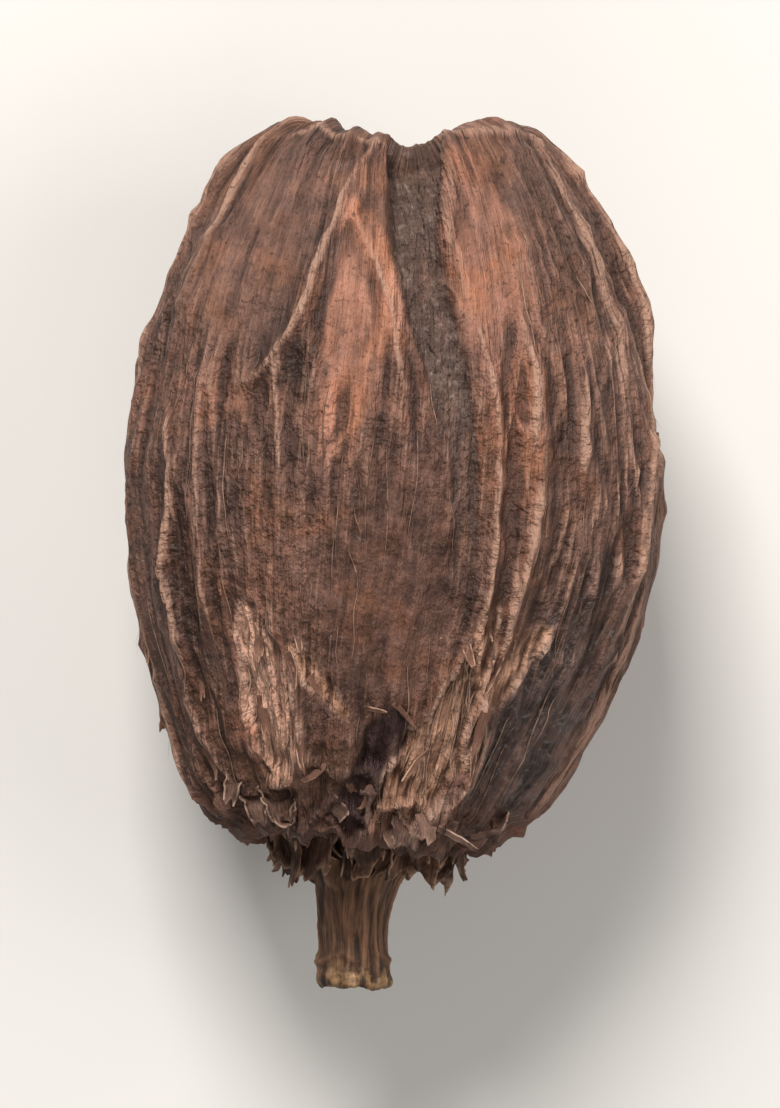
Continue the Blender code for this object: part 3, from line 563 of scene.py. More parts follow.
STALK_FINISH = dict(
    noises={
        "threads": ("grain", (7.0, 0.6, 7.0), 4.0, 0.6),
        "mottle": ("place", 1300.0, 5.0, 0.7),
    },
    layers=(
        ("stalk", (("threads", 0.36, 0.64),), (0.042, 0.019, 0.0095), (0.17, 0.08, 0.042)),
        # Painted highlight on the stalk's crests
        ("stalk", (("hollow", -0.1, -0.9, 0.0, 0.55),), "stalk", (0.27, 0.14, 0.076)),
        # Painted shade in the stalk's hollows
        ("stalk", (("hollow", 0.1, 0.8, 0.0, 0.7),), "stalk", (0.018, 0.01, 0.007)),
        ("crust", (("mottle", 0.43, 0.62),), (0.03, 0.013, 0.005), (0.33, 0.185, 0.088)),
        ("stalk", ("cut", ("mottle", 0.3, 0.5, 0.6, 1.0)), "stalk", "crust"),
        # Painted highlight on the raised crust of the cut end
        ("stalk", ("cut", ("hollow", -0.1, -0.6, 0.0, 0.7), ("mottle", 0.44, 0.58, 0.1, 1.0)), "stalk",
         (0.47, 0.31, 0.19)),
        # Painted shade in the pits of the cut end
        ("stalk", ("pits", "cut", 0.9), "stalk", (0.022, 0.013, 0.009)),
    ),
    roughness=((("mottle", 0.35, 0.65, 0.6, 0.8),),),
    specular=0.35,
    height=(("threads",), ("mottle", 0.7)),
    bump=(0.8, 0.0002),
)
FIBRE_FINISH = dict(
    noises={"mottle": ("place", 2200.0, 3.0, 0.6)},
    sums={"shade": (("tone", 0.75), (("mottle", 0.4, 0.6, -0.15, 0.3),))},
    layers=(("fibre", ("shade",), (0.11, 0.055, 0.036), (0.47, 0.3, 0.215)),),
    roughness=0.6,
)


def papery_finish(dark, pale, edge):
    """Thin torn husk: fibres along each strip, paler towards its torn sides and tip."""
    return dict(
        noises={
            "threads": ("sheet", (22.0, 2.0, 1.0), 3.0, 0.6),
            "mottle": ("place", 1500.0, 4.0, 0.65),
        },
        sums={
            "shade": ((("threads", 0.36, 0.62, 0.0, 0.45),), ("tone", 0.5)),
            "rim": ((("off_middle", 0.4, 0.5),), (("along", 0.86, 1.0, 0.0, 0.8),)),
        },
        layers=(
            ("paper", ("shade", ("mottle", 0.36, 0.62, 0.35, 1.3)), dark, pale),
            ("paper", ("rim", ("mottle", 0.42, 0.6, 0.0, 0.8)), "paper", edge),
        ),
        roughness=0.68,
        specular=0.3,
        height=(("threads",), ("mottle", 0.6)),
        bump=(0.6, 0.00015),
    )


TORN_FINISH = papery_finish((0.03, 0.014, 0.009), (0.21, 0.107, 0.066), (0.44, 0.27, 0.18))
SKIN_FINISH = papery_finish((0.12, 0.056, 0.038), (0.36, 0.19, 0.13), (0.56, 0.36, 0.26))
FLAP_FINISH = papery_finish((0.05, 0.025, 0.018), (0.27, 0.155, 0.115), (0.5, 0.34, 0.265))


def deselect_all():
    for item in bpy.context.selected_objects:
        item.select_set(False)


def held(values):
    """Values held within 0 and 1."""
    return np.clip(values, 0.0, 1.0)


def smooth_step(low, high, value):
    """0 up to low, 1 from high on, and a smooth rise between."""
    share = held((value - low) / (high - low))
    return share * share * (3.0 - 2.0 * share)


def grade(at_none, at_full, share):
    """A value that runs evenly from one number at share 0 to another at share 1."""
    return at_none + (at_full - at_none) * share


def bell(off):
    """1 in the middle, falling softly away from it."""
    return np.exp(-(off**2))


def turned_from(turn, angle):
    """How far each turn lies from an angle, the short way round."""
    return np.angle(np.exp(1j * (turn - angle)))


def unit(vector):
    return vector / np.linalg.norm(vector)


def outward_at(angle):
    """The direction out of the pod's axis at an angle round it."""
    return np.array((math.cos(angle), 0.0, math.sin(angle)))


def ring_place(x, y, outward, reach):
    """A place inside the flattened pod, at a reach from its axis."""
    return np.array((x, y, AXIS_HEIGHT)) + outward * reach * (1.0, 1.0, BODY_FLATNESS)


def on_curve(points, place):
    """A smooth curve through the points, at a place from 0 for the first to 1 for the last."""
    points = np.array(points, float)
    last = len(points) - 1
    span = held(np.asarray(place, float)) * last
    k = np.minimum(span.astype(int), last - 1)
    t = (span - k)[..., None]
    before, start = points[np.maximum(k - 1, 0)], points[k]
    end, after = points[k + 1], points[np.minimum(k + 2, last)]
    return 0.5 * (
        2.0 * start
        + (end - before) * t
        + (2.0 * before - 5.0 * start + 4.0 * end - after) * t**2
        + (3.0 * start - before - 3.0 * end + after) * t**3
    )


def noise_at(points, size, stretch=1.0, shift=0.0):
    """Soft noise from -1 to 1, with spots of a size, drawn out along the pod by 1 / stretch."""
    scaled = points * (np.array((1.0, stretch, 1.0)) / size) + shift
    return np.fromiter((noise.noise(p) for p in scaled.tolist()), float, len(scaled))


def uneven(points, rows):
    """The sum of some soft noises, each with its amount."""
    return sum(amount * noise_at(points, *soft) for amount, *soft in rows)


def changing(points, mean, change, least, most, *soft):
    """A number that changes softly from place to place, held within its least and most."""
    return np.clip(mean + change * noise_at(points, *soft), least, most)


def crests_at(points, spacing, length, shift, breadth=CREST_BREADTH):
    """Sharp crests from 0 to 1 that run along the pod, wander and fork."""
    soft = noise_at(points, spacing, spacing / length, shift)
    return held(1.0 - np.abs(soft) / breadth) ** CREST_SHARPNESS


def across_path(path_mm, points):
    """Distance from a path seen from above, in half widths, and the path's height there."""
    samples = on_curve(path_mm, np.linspace(0.0, 1.0, PATH_SAMPLES * len(path_mm))) * MM
    best = np.full(len(points), np.inf)
    height = np.zeros(len(points))
    for start, end in zip(samples[:-1], samples[1:]):
        run = end[:2] - start[:2]
        share = held((points[:, :2] - start[:2]) @ run / (run @ run))
        here = start + share[:, None] * (end - start)
        away = np.hypot(*(points[:, :2] - here[:, :2]).T) / here[:, 2]
        nearer = away < best
        best[nearer] = away[nearer]
        height[nearer] = here[nearer, 3]
    return best, height


def strokes(paths_mm, points, ragged=0.0):
    """How far each point lies in strokes along some paths, from 0 to their strength."""
    share = np.zeros(len(points))
    for path in paths_mm:
        away, strength = across_path(path, points)
        share = np.maximum(share, strength / MM * (1.0 - smooth_step(*STROKE_BORDER, away + ragged)))
    return share


def in_patches(patches_mm, points):
    """How far each point lies in any of the patches, from 0 to 1."""
    share = np.zeros(len(points))
    for x, y, half_width, half_length in patches_mm:
        off = np.hypot((points[:, 0] / MM - x) / half_width, (points[:, 1] / MM - y) / half_length)
        share = np.maximum(share, 1.0 - smooth_step(*PATCH_BORDER, off))
    return share


def set_points(piece, points):
    piece.data.vertices.foreach_set("co", points.astype(np.float32).ravel())
    piece.data.update()


def points_of(piece):
    points = np.empty(3 * len(piece.data.vertices), np.float32)
    piece.data.vertices.foreach_get("co", points)
    return points.reshape(-1, 3).astype(float)


def normals_of(piece):
    return np.array([n.vector for n in piece.data.vertex_normals])


def paint(piece, name, values):
    """Keeps a number for each vertex, for the piece's material to read."""
    layer = piece.data.attributes.new(name, "FLOAT", "POINT")
    layer.data.foreach_set("value", np.asarray(values, np.float32))


def paint_evenly(piece, name, value):
    """Keeps the same number for all of a piece's vertices."""
    paint(piece, name, np.full(len(piece.data.vertices), value))


def paint_grain(piece, grain):
    """Keeps each vertex's place in the unrolled grain, in millimetres."""
    layer = piece.data.attributes.new("grain", "FLOAT_VECTOR", "POINT")
    layer.data.foreach_set("vector", (grain / MM).astype(np.float32).ravel())


def even_places(profile_mm, count):
    """Places that lie evenly along a profile's line."""
    fine = np.linspace(0.0, 1.0, PROFILE_SAMPLES)
    line = on_curve(profile_mm, fine)[:, :2]
    run = np.concatenate(([0.0], np.cumsum(np.hypot(*np.diff(line, axis=0).T))))
    return np.interp(np.linspace(0.0, run[-1], count), run, fine)


def add_turned_piece(name, profile_mm, columns, rings):
    """A sheet rolled up and closed, to be shaped as a turned piece: it, and each vertex's
    angle, ring, column and place."""
    deselect_all()
    bpy.ops.mesh.primitive_grid_add(x_subdivisions=columns, y_subdivisions=rings, size=1.0)
    piece = bpy.context.object
    piece.name = piece.data.name = name
    sheet = points_of(piece) + 0.5
    around, tilt = 2.0 * math.pi * sheet[:, 0], math.pi * sheet[:, 1]
    ball = (np.cos(around) * np.sin(tilt), np.sin(around) * np.sin(tilt), np.cos(tilt))
    set_points(piece, np.stack(ball, axis=1))
    bpy.ops.object.mode_set(mode="EDIT")
    bpy.ops.mesh.select_all(action="SELECT")
    bpy.ops.mesh.remove_doubles(threshold=SEAM_GAP)
    bpy.ops.mesh.normals_make_consistent(inside=False)
    bpy.ops.object.mode_set(mode="OBJECT")
    ball = points_of(piece)
    ring = np.round(np.arccos(np.clip(ball[:, 2], -1.0, 1.0)) * rings / math.pi).astype(int)
    column = np.round(np.arctan2(-ball[:, 1], ball[:, 0]) * columns / (2.0 * math.pi)).astype(int) % columns
    turn = column * (2.0 * math.pi / columns)
    return piece, turn, ring, column, even_places(profile_mm, rings + 1)[ring]


def base_shape(profile_mm, turn, place):
    """Points of the pod without its relief, at an angle round it and a place along its profile."""
    along, half_width, middle = (on_curve(profile_mm, place) * MM).T
    half_width = np.maximum(half_width, 0.0)
    body = smooth_step(STALK_START - STALK_BLEND, STALK_START + STALK_BLEND, along)
    swell = 1.0 + VALVE_SWELL * body * np.cos(VALVE_COUNT * (turn - VALVE_TURN))
    across = middle + half_width * swell * np.cos(turn)
    up = half_width * swell * np.sin(turn) * grade(1.0, BODY_FLATNESS, body)
    near_calyx = smooth_step(*CALYX_LOBE_Y, along)
    inside_rim = smooth_step(0.0, CALYX_RIM_RADIUS, half_width)
    for angle, height, spread in CALYX_LOBES:
        along = along + near_calyx * inside_rim * height * bell(turned_from(turn, angle) / spread)
    in_notch = bell((across - NOTCH_X) / NOTCH_HALF_WIDTH) * (up > 0.0)
    along = along - near_calyx * in_notch * NOTCH_DEPTH * smooth_step(*NOTCH_RIM, half_width)
    return np.stack((across, along, up), axis=1)


def torn_edge(points):
    """How far each point of the lower edge is drawn in or out along the pod, unevenly."""
    girth = np.hypot(points[:, 0], points[:, 2])
    on_edge = smooth_step(*TORN_EDGE_Y, points[:, 1]) * smooth_step(*TORN_EDGE_GIRTH, girth)
    return on_edge * uneven(points * (ACROSS + UP), TORN_EDGE)


def rib_relief(turn, points):
    """Height of the long ribs, which fade in and out along the pod."""
    relief = np.zeros(len(turn))
    rng = random.Random(RIB_SEED)
    gap = 2.0 * math.pi / RIB_COUNT
    place = points[:, 1] / RIB_FADE_LENGTH
    for i in range(RIB_COUNT):
        angle = gap * (i + rng.uniform(-RIB_JITTER, RIB_JITTER))
        off = np.abs(turned_from(turn, angle)) / gap
        crest = held(1.0 - off / RIB_HALF_WIDTH) ** RIB_SHARPNESS
        strength = [RIB_MEAN_STRENGTH + RIB_STRENGTH_CHANGE * noise.noise((y, RIB_STRENGTH_SEED * i, 0.5))
                    for y in RIB_FADE_STEPS]
        relief = np.maximum(relief, crest * np.interp(place, RIB_FADE_STEPS, strength))
    return relief * RIB_HEIGHT


def grain_of(turn, along, radius):
    """Each point's place on a plain cylinder, whose length the grain follows."""
    return np.stack((radius * np.cos(turn), along, radius * np.sin(turn)), axis=1)


def places_on(turn, points, normals):
    """What the husk's relief reads at each point, such as whether it is on the upper side."""
    along, upward = points[:, 1], normals[:, 2]
    girth = np.hypot(points[:, 0], points[:, 2])
    wander = uneven(points, PATH_WANDER)
    return SimpleNamespace(
        turn=turn, points=points, along=along, upward=upward, girth=girth, wander=wander,
        wavy=points + wander[:, None] * ACROSS,
        grain=grain_of(turn, along, GRAIN_RADIUS),
        body=smooth_step(*BODY_Y, along) * smooth_step(*BODY_GIRTH, girth),
        front=smooth_step(*UPPER_SIDE_SLOPE, upward) * smooth_step(*UPPER_SIDE_GIRTH, girth),
    )


def broad_relief(at):
    """The ribs, side grooves, dents and wrinkles, with weaker ribs on the upper side."""
    smooth = in_patches(SMOOTH_PATCHES_MM, at.points) * at.front
    rib_share = grade(1.0, grade(RIB_SHARE_ON_TOP, SMOOTH_PATCH_RIB_SHARE, smooth), at.front)
    relief = rib_relief(at.turn, at.points) * rib_share * grade(RIB_SHARE_AT_ENDS, 1.0, at.body)
    groove_share = grade(SIDE_GROOVE_LEAST_SHARE, 1.0, smooth_step(*SIDE_GROOVE_Y, at.along))
    for angle in SIDE_GROOVES:
        off = turned_from(at.turn, angle) / SIDE_GROOVE_WIDTH
        relief -= SIDE_GROOVE_DEPTH * groove_share * at.body * bell(off)
    return relief + at.body * uneven(at.points, DENTS_AND_WRINKLES)


def channel_and_ridges(at):
    """Relief of the channel and the broken ridges, and how far each point shows either."""
    away, depth = across_path(CHANNEL_MM, at.wavy)
    relief = -at.front * (1.0 - smooth_step(*CHANNEL_BORDER, away)) * depth
    channel = smooth_step(*OVER_RIM_SLOPE, at.upward) * smooth_step(*OVER_RIM_GIRTH, at.girth)
    channel *= 1.0 - smooth_step(*CHANNEL_COLOUR_BORDER, away)
    channel *= smooth_step(*CHANNEL_COLOUR_DEPTH, depth)
    ridge = np.zeros(len(away))
    for index, path in enumerate(RIDGES_MM):
        away, height = across_path(path, at.wavy)
        broken = changing(at.points, *RIDGE_STRENGTH, RIDGE_SHIFT + index)
        foot = held(1.0 - away) ** RIDGE_FOOT_SHARPNESS
        crest = held(1.0 - away / RIDGE_CREST_WIDTH)
        here = at.front * at.body
        relief += here * height * broken * (RIDGE_FOOT_SHARE * foot + RIDGE_CREST_SHARE * crest)
        shown = held(height / RIDGE_SHOWN_HEIGHT) * smooth_step(*RIDGE_SHOWN_STRENGTH, broken)
        ridge = np.maximum(ridge, here * crest * shown)
    return relief, channel, ridge


def rims_and_side_crests(at):
    """Relief of the rims and of the crests along the sides, and how far each point shows them."""
    steep = np.clip(at.upward, *RIM_STEEPNESS)
    outer = smooth_step(*RIM_SLOPE, at.upward)
    strength = changing(at.points, *RIM_STRENGTH)
    crests = []
    for path in RIMS_MM:
        away, height = across_path(path, at.wavy)
        crests.append((outer * held(1.0 - away / steep) * strength, height, RIM_SHOWN_HEIGHT))
    for angle, line in SIDE_CRESTS:
        off = turned_from(at.turn, math.radians(angle)) * at.girth + SIDE_CREST_WANDER * at.wander
        height = np.interp(-at.along / MM, [-y for y, _ in line], [h for _, h in line]) * MM
        crest = held(1.0 - np.abs(off) / SIDE_CREST_HALF_WIDTH) * strength
        crests.append((crest, height, SIDE_CREST_SHOWN_HEIGHT))
    relief, rim = np.zeros(len(at.turn)), np.zeros(len(at.turn))
    for crest, height, shown_height in crests:
        relief += height * crest
        rim = np.maximum(rim, crest * held(height / shown_height))
    return relief, rim


def side_tears(turn, points):
    """How far each point lies in a torn place on the sides or back, from 0 to 1."""
    rng = random.Random(SIDE_TEAR_SEED)
    torn = np.zeros(len(turn))
    ragged = uneven(points, SIDE_TEAR_RAGGED)
    for i in range(SIDE_TEAR_COUNT):
        angle = SIDE_TEAR_START + SIDE_TEAR_SPAN * (i + rng.uniform(*SIDE_TEAR_JITTER)) / SIDE_TEAR_COUNT
        middle = rng.uniform(*SIDE_TEAR_Y)
        half_width = rng.uniform(*SIDE_TEAR_HALF_WIDTH)
        half_length = rng.uniform(*SIDE_TEAR_HALF_LENGTH)
        around = turned_from(turn, angle) * GRAIN_RADIUS
        off = np.hypot(around / half_width, (points[:, 1] - middle) / half_length) + ragged
        torn = np.maximum(torn, 1.0 - smooth_step(*SIDE_TEAR_BORDER, off))
    return torn


def tears(at):
    """Relief of the torn places and the recess, and where skin, torn edge and recess show."""
    ragged = uneven(at.points, TEAR_RAGGED)
    torn = side_tears(at.turn, at.points)
    place, half_width = SIDE_TEAR_EDGE
    edge = bell((torn - place) / half_width) * (torn > 0.0)
    relief = -SIDE_TEAR_DEPTH * at.body * torn
    place, half_width = TEAR_EDGE
    for path in TORN_MM:
        away, depth = across_path(path, at.points)
        here = at.front * (1.0 - smooth_step(*TEAR_BORDER, away + ragged))
        relief -= here * depth
        torn = np.maximum(torn, here)
        edge = np.maximum(edge, at.front * bell((away + ragged - place) / half_width))
    edge *= smooth_step(*EDGE_SHOWN, noise_at(at.points, *EDGE_BREAKS))
    away, depth = across_path(RECESS_MM, at.points)
    recess = at.front * (1.0 - smooth_step(*RECESS_BORDER, away + ragged))
    return relief - recess * depth + EDGE_HEIGHT * edge * at.body, torn, edge, recess


def fine_relief(at, torn):
    """Relief of veins, crimps, fibres and shallow folds, and how far veins and crimps, strands
    and the smoother patches show."""
    strength = changing(at.points, *VEIN_STRENGTH)
    crimped = strokes((CRIMPED_MM,), at.points) * at.front
    calm = in_patches(FINE_PATCHES_MM, at.points) * at.front
    lively = (1.0 - FINE_PATCH_CALM * calm) * (1.0 - torn)
    veins = crests_at(at.grain, *VEINS) * strength
    crimps = crests_at(at.grain, *CRIMPS)
    fibres = crests_at(at.grain, *FIBRES)
    strands = crests_at(at.grain, *STRANDS)
    folds = crests_at(at.points, *SHALLOW_FOLDS)
    crimp_share = grade(CRIMP_LEAST_SHARE, 1.0, crimped) * held(strength)
    relief = at.body * lively * (VEIN_HEIGHT * veins + CRIMP_HEIGHT * crimp_share * crimps)
    fibre_share = grade(FIBRE_SHARE_AT_ENDS, 1.0, at.body) * grade(FIBRE_SHARE_IN_CALM, 1.0, lively)
    relief += FIBRE_HEIGHT * fibre_share * fibres
    relief += STRAND_HEIGHT * torn * strands
    relief += at.body * uneven(at.points, CRUMPLE)
    relief += at.body * SHALLOW_FOLD_HEIGHT * grade(1.0, SHALLOW_FOLD_SHARE_IN_TEARS, torn) * folds
    # How strongly veins and crimps take the painted highlight on crests
    shown = at.body * lively * (VEIN_HIGHLIGHT * veins + grade(*CRIMP_HIGHLIGHT, crimped) * crimps)
    return relief, shown, strands, calm


def crumpled_end(at):
    """Relief of the crumpled lower end, and where it and the crests of its folds show."""
    crumpled = strokes((CRUMPLED_MM,), at.points) * at.front
    folds = crests_at(at.points, *FOLDS)
    relief = crumpled * (FOLD_HEIGHT * folds + uneven(at.points, CRUSH) - SHRINK_DEPTH)
    foot = smooth_step(*FOOT_Y, at.along) * smooth_step(*FOOT_GIRTH, at.girth)
    foot_folds = FOOT_FOLD_HEIGHT * crests_at(at.points, *FOOT_FOLDS) - FOOT_FOLD_LOWERED
    relief += foot * (foot_folds + uneven(at.points, FOOT_CRUMPLE))
    return relief, crumpled, crumpled * folds


def husk_relief(turn, points, normals):
    """How far the husk stands out from its base shape, the masks that its finish reads, and
    its grain."""
    at = places_on(turn, points, normals)
    lined_relief, channel, ridge = channel_and_ridges(at)
    rim_relief, rim = rims_and_side_crests(at)
    torn_relief, torn, edge, recess = tears(at)
    skin_relief, veined, strands, calm = fine_relief(at, torn)
    end_relief, crumpled, folded = crumpled_end(at)
    relief = broad_relief(at) + lined_relief + rim_relief + torn_relief + skin_relief + end_relief
    ragged = uneven(points, STROKE_RAGGED)
    masks = {
        # ridge: where the painted highlight on crests falls
        "ridge": held(np.maximum(ridge, held(RIM_HIGHLIGHT * rim)) + veined + FOLD_HIGHLIGHT * folded),
        "channel": channel,
        "torn": held(torn),
        "strand": strands,
        "edge": held(edge),
        "recess": recess,
        "calm": calm,
        "crush": crumpled,
        "flush": strokes(FLUSHED_MM, points, ragged) * at.front,
        # dark: darker husk, and painted shade along the left edge
        "dark": strokes(DARK_AND_SHADED_MM, points, ragged) * at.front,
        # Grey husk, and a painted shadow on the lower right lobe
        "ash": strokes(ASHEN_AND_SHADOWED_MM, points, ragged) * at.front,
    }
    return relief, masks, at.grain


def hollows_of(relief, ring, column, columns, rings):
    """How far each vertex lies below its surroundings: above 0 in a hollow, below 0 on a crest."""
    grid = np.zeros((rings + 1, columns))
    grid[ring, column] = relief
    grid[0], grid[-1] = grid[1], grid[-2]
    near = np.zeros_like(grid)
    for step in range(-HOLLOW_REACH, HOLLOW_REACH + 1):
        near += np.roll(grid, step, axis=1) / (2 * HOLLOW_REACH + 1)
    return (near - grid)[ring, column]


def make_husk():
    """The whole husk, with every rib, vein, tear and fibre that is big enough to be a shape."""
    piece, turn, ring, column, place = add_turned_piece("husk", BODY_PROFILE_MM, *HUSK_DIVISIONS)
    flow = noise_at(base_shape(BODY_PROFILE_MM, turn, place), *RIB_FLOW)
    points = base_shape(BODY_PROFILE_MM, turn + RIB_WANDER * flow, place)
    set_points(piece, points)
    normals = normals_of(piece)
    relief, masks, grain = husk_relief(turn, points, normals)
    points[:, 1] += torn_edge(points)
    points += normals * relief[:, None]
    points[:, 2] = np.maximum(points[:, 2] + AXIS_HEIGHT, 0.0)
    set_points(piece, points)
    across, along, up = points.T
    hollow = hollows_of(relief, ring, column, *HUSK_DIVISIONS)
    girth = np.hypot(across, (up - AXIS_HEIGHT) / BODY_FLATNESS)
    # hollow: above 0 the finish paints shade, below 0 a highlight
    masks["hollow"] = np.clip(hollow / HUSK_HOLLOW_DEPTH, -1.0, 1.0)
    masks["foot"] = smooth_step(*FOOT_COLOUR_Y, along)
    masks["scar"] = smooth_step(*SCAR_Y, along) * smooth_step(*SCAR_GIRTH, girth)
    for name, values in masks.items():
        paint(piece, name, values)
    paint_grain(piece, grain)
    return piece


def ring_relief(points):
    """Height of the stalk's rings, which wander and fade."""
    along, soft = points[:, 1], noise_at(points, *RING_NOISE)
    strength = np.clip(RING_MEAN_STRENGTH + RING_CHANGE * soft, 0.0, RING_MOST_STRENGTH)
    return sum(
        height * strength * bell((along - y + RING_WANDER * soft) / RING_HALF_WIDTH)
        for y, height in STALK_RINGS_AT
    )


def make_stalk():
    """The cut stalk: a ribbed fibrous neck that flares to a rough, pitted end."""
    piece, turn, ring, column, place = add_turned_piece("stalk", STALK_PROFILE_MM, *STALK_DIVISIONS)
    points = base_shape(STALK_PROFILE_MM, turn, place)
    set_points(piece, points)
    normals = normals_of(piece)
    along = points[:, 1].copy()
    grain = grain_of(turn, along, STALK_GRAIN_RADIUS)
    cut = smooth_step(*CUT_SLOPE, -normals[:, 1]) * (along < CUT_START)
    crust = noise_at(points, *CRUST)
    relief = STALK_RIB_HEIGHT * crests_at(grain, *STALK_RIBS)
    relief += STALK_FIBRE_HEIGHT * crests_at(grain, *STALK_FIBRES)
    relief += uneven(points, STALK_BUMPS) + ring_relief(points)
    relief *= 1.0 - cut
    relief += grade(CRUST_LEAST_SHARE, 1.0, smooth_step(*CRUST_Y, along)) * CRUST_HEIGHT * crust
    points += normals * relief[:, None]
    points[:, 1] += cut * uneven(points, CUT_BUMPS)
    points[:, 2] += AXIS_HEIGHT
    set_points(piece, points)
    hollow = hollows_of(relief, ring, column, *STALK_DIVISIONS)
    # hollow: above 0 the finish paints shade, below 0 a highlight
    paint(piece, "hollow", np.clip(hollow / STALK_HOLLOW_DEPTH, -1.0, 1.0))
    paint(piece, "cut", smooth_step(*CUT_COLOUR_Y, along))
    # pits: the low places of the crust, where the finish paints shade
    paint(piece, "pits", held(-crust * PIT_STRENGTH))
    paint_grain(piece, grain)
    return piece


def curled_path(root, ahead, up, length, lift, curl, sway):
    """Points, sideways and upward directions along a strip that lifts, curls up and sways."""
    share = np.linspace(0.0, 1.0, PATH_STEPS)
    ahead = unit(ahead)
    side = unit(np.cross(ahead, up))
    up = np.cross(side, ahead)
    rise = (lift + curl * share**CURL_SHARPNESS)[:, None]
    yaw = (sway * share)[:, None]
    flat = np.cos(yaw) * ahead + np.sin(yaw) * side
    run = np.cos(rise) * flat + np.sin(rise) * up
    points = root + np.vstack((np.zeros(3), np.cumsum(run[:-1], axis=0))) * (length / (PATH_STEPS - 1))
    lifted = np.cos(rise) * up - np.sin(rise) * flat
    return points, np.cross(run, lifted), lifted


def at_share(values, share):
    """Values given evenly from 0 to 1, read at each share."""
    even = np.linspace(0.0, 1.0, len(values))
    return np.stack([np.interp(share, even, column) for column in values.T], axis=1)


def add_strip_template():
    """A flat sheet, from its root at share 0 to its tip at share 1."""
    deselect_all()
    columns, rings = STRIP_DIVISIONS
    bpy.ops.mesh.primitive_grid_add(x_subdivisions=columns, y_subdivisions=rings, size=1.0)
    template = bpy.context.object
    template.name = "strip_template"
    return template


def add_fibre_template():
    """A thin spindle, from its root at share 0 to its tip at share 1."""
    deselect_all()
    bpy.ops.mesh.primitive_uv_sphere_add(segments=FIBRE_SIDES, ring_count=FIBRE_RINGS, radius=1.0)
    template = bpy.context.object
    template.name = "fibre_template"
    return template


def copy_of(template, name):
    piece = template.copy()
    piece.data = template.data.copy()
    piece.name = name
    bpy.context.collection.objects.link(piece)
    return piece


def bend_strip(strip, path, width, tip_share, crumple, shift, twist, roll):
    """Lays a flat sheet along a path, tapers it, frays its sides and crumples it."""
    x, y, _ = points_of(strip).T
    notches = np.array([
        sum(depth * noise.noise((number * place, shift, layer)) for depth, number, layer in STRIP_NOTCHES)
        for place in x
    ])
    mean, change = STRIP_REACH
    share = held((y + 0.5) * (mean + change * notches))
    centre, side, up = (at_share(values, share) for values in path)
    depth, number = STRIP_FRAY
    fray = [noise.noise((number * place, shift, float(right))) for place, right in zip(share, x > 0.0)]
    across = x * width * grade(1.0, tip_share, share**STRIP_TAPER) * (1.0 + depth * np.array(fray))
    angle = (twist * share)[:, None]
    direction = np.cos(angle) * side + np.sin(angle) * up
    flat_place = centre + across[:, None] * side
    bump = crumple * sum(amount * noise_at(flat_place, size, 1.0, shift) for amount, size in STRIP_CRUMPLES)
    rolled = np.abs(2.0 * x) ** ROLL_SHARPNESS
    rise = bump + roll * width * ROLL_RISE * rolled
    across = across * (1.0 - ROLL_NARROWING * abs(roll) * rolled)
    set_points(strip, centre + across[:, None] * direction + rise[:, None] * up)


def bend_fibre(fibre, path, radius):
    """Draws a spindle out along a path as a thin fibre."""
    ball = points_of(fibre)
    share = np.round(np.arccos(np.clip(-ball[:, 2], -1.0, 1.0)) * FIBRE_RINGS / math.pi) / FIBRE_RINGS
    turn = np.arctan2(ball[:, 1], ball[:, 0])[:, None]
    centre, side, up = (at_share(values, share) for values in path)
    swelling, thinning = FIBRE_ENDS
    thick = radius * held(swelling * share) * held(thinning * (1.0 - share))
    set_points(fibre, centre + thick[:, None] * (np.cos(turn) * side + np.sin(turn) * up))


def join_copies(copies, name):
    """Joins the copies as one piece."""
    deselect_all()
    for item in copies:
        item.select_set(True)
    bpy.context.view_layer.objects.active = copies[0]
    bpy.ops.object.join()
    piece = bpy.context.object
    piece.name = piece.data.name = name
    return piece


def thicken(piece, thickness):
    """Gives flat sheets their thickness and a smooth surface."""
    solid = piece.modifiers.new("thickness", "SOLIDIFY")
    solid.thickness = thickness
    solid.offset = 0.0
    smooth = piece.modifiers.new("smooth", "SUBSURF")
    smooth.levels = smooth.render_levels = 1
    deselect_all()
    bpy.context.view_layer.objects.active = piece
    piece.select_set(True)
    for modifier in list(piece.modifiers):
        bpy.ops.object.modifier_apply(modifier=modifier.name)


def make_strips(template, paths, name, thickness, crumple, seed):
    """One piece of thin papery strips, each along its own path."""
    rng = random.Random(seed)
    first_shift, shift_step = STRIP_SHIFT
    copies = []
    for index, (path, width, tip_share, twist) in enumerate(paths):
        strip = copy_of(template, f"{name}_{index}")
        shift = first_shift + shift_step * index
        bend_strip(strip, path, width, tip_share, crumple, shift, twist, rng.uniform(*STRIP_ROLL))
        paint_evenly(strip, "tone", rng.random() ** 2)
        copies.append(strip)
    piece = join_copies(copies, name)
    thicken(piece, thickness)
    return piece


def skirt_paths():
    """Each strip of the torn skirt round the stalk: its path, width, tip share and twist."""
    rng = random.Random(SKIRT.seed)
    paths = []
    for index in range(SKIRT.count):
        angle = 2.0 * math.pi * (index + rng.uniform(*SKIRT.jitter)) / SKIRT.count
        length = rng.uniform(*SKIRT.length)
        width = rng.uniform(*SKIRT.width)
        curl = SKIRT.curl_gain * rng.uniform(*SKIRT.curl)
        sway = SKIRT.sway_gain * rng.uniform(*SKIRT.bend)
        twist = rng.uniform(*SKIRT.twist)
        outward = outward_at(angle)
        forward = unit(outward * rng.uniform(*SKIRT.lean) - AHEAD)
        root = ring_place(STALK_X, SKIRT.root_y, outward, rng.uniform(*SKIRT.reach))
        root = root - forward * SKIRT.root_share * length
        paths.append((curled_path(root, forward, outward, length, 0.0, curl, sway), width, SKIRT.tip, twist))
    return paths


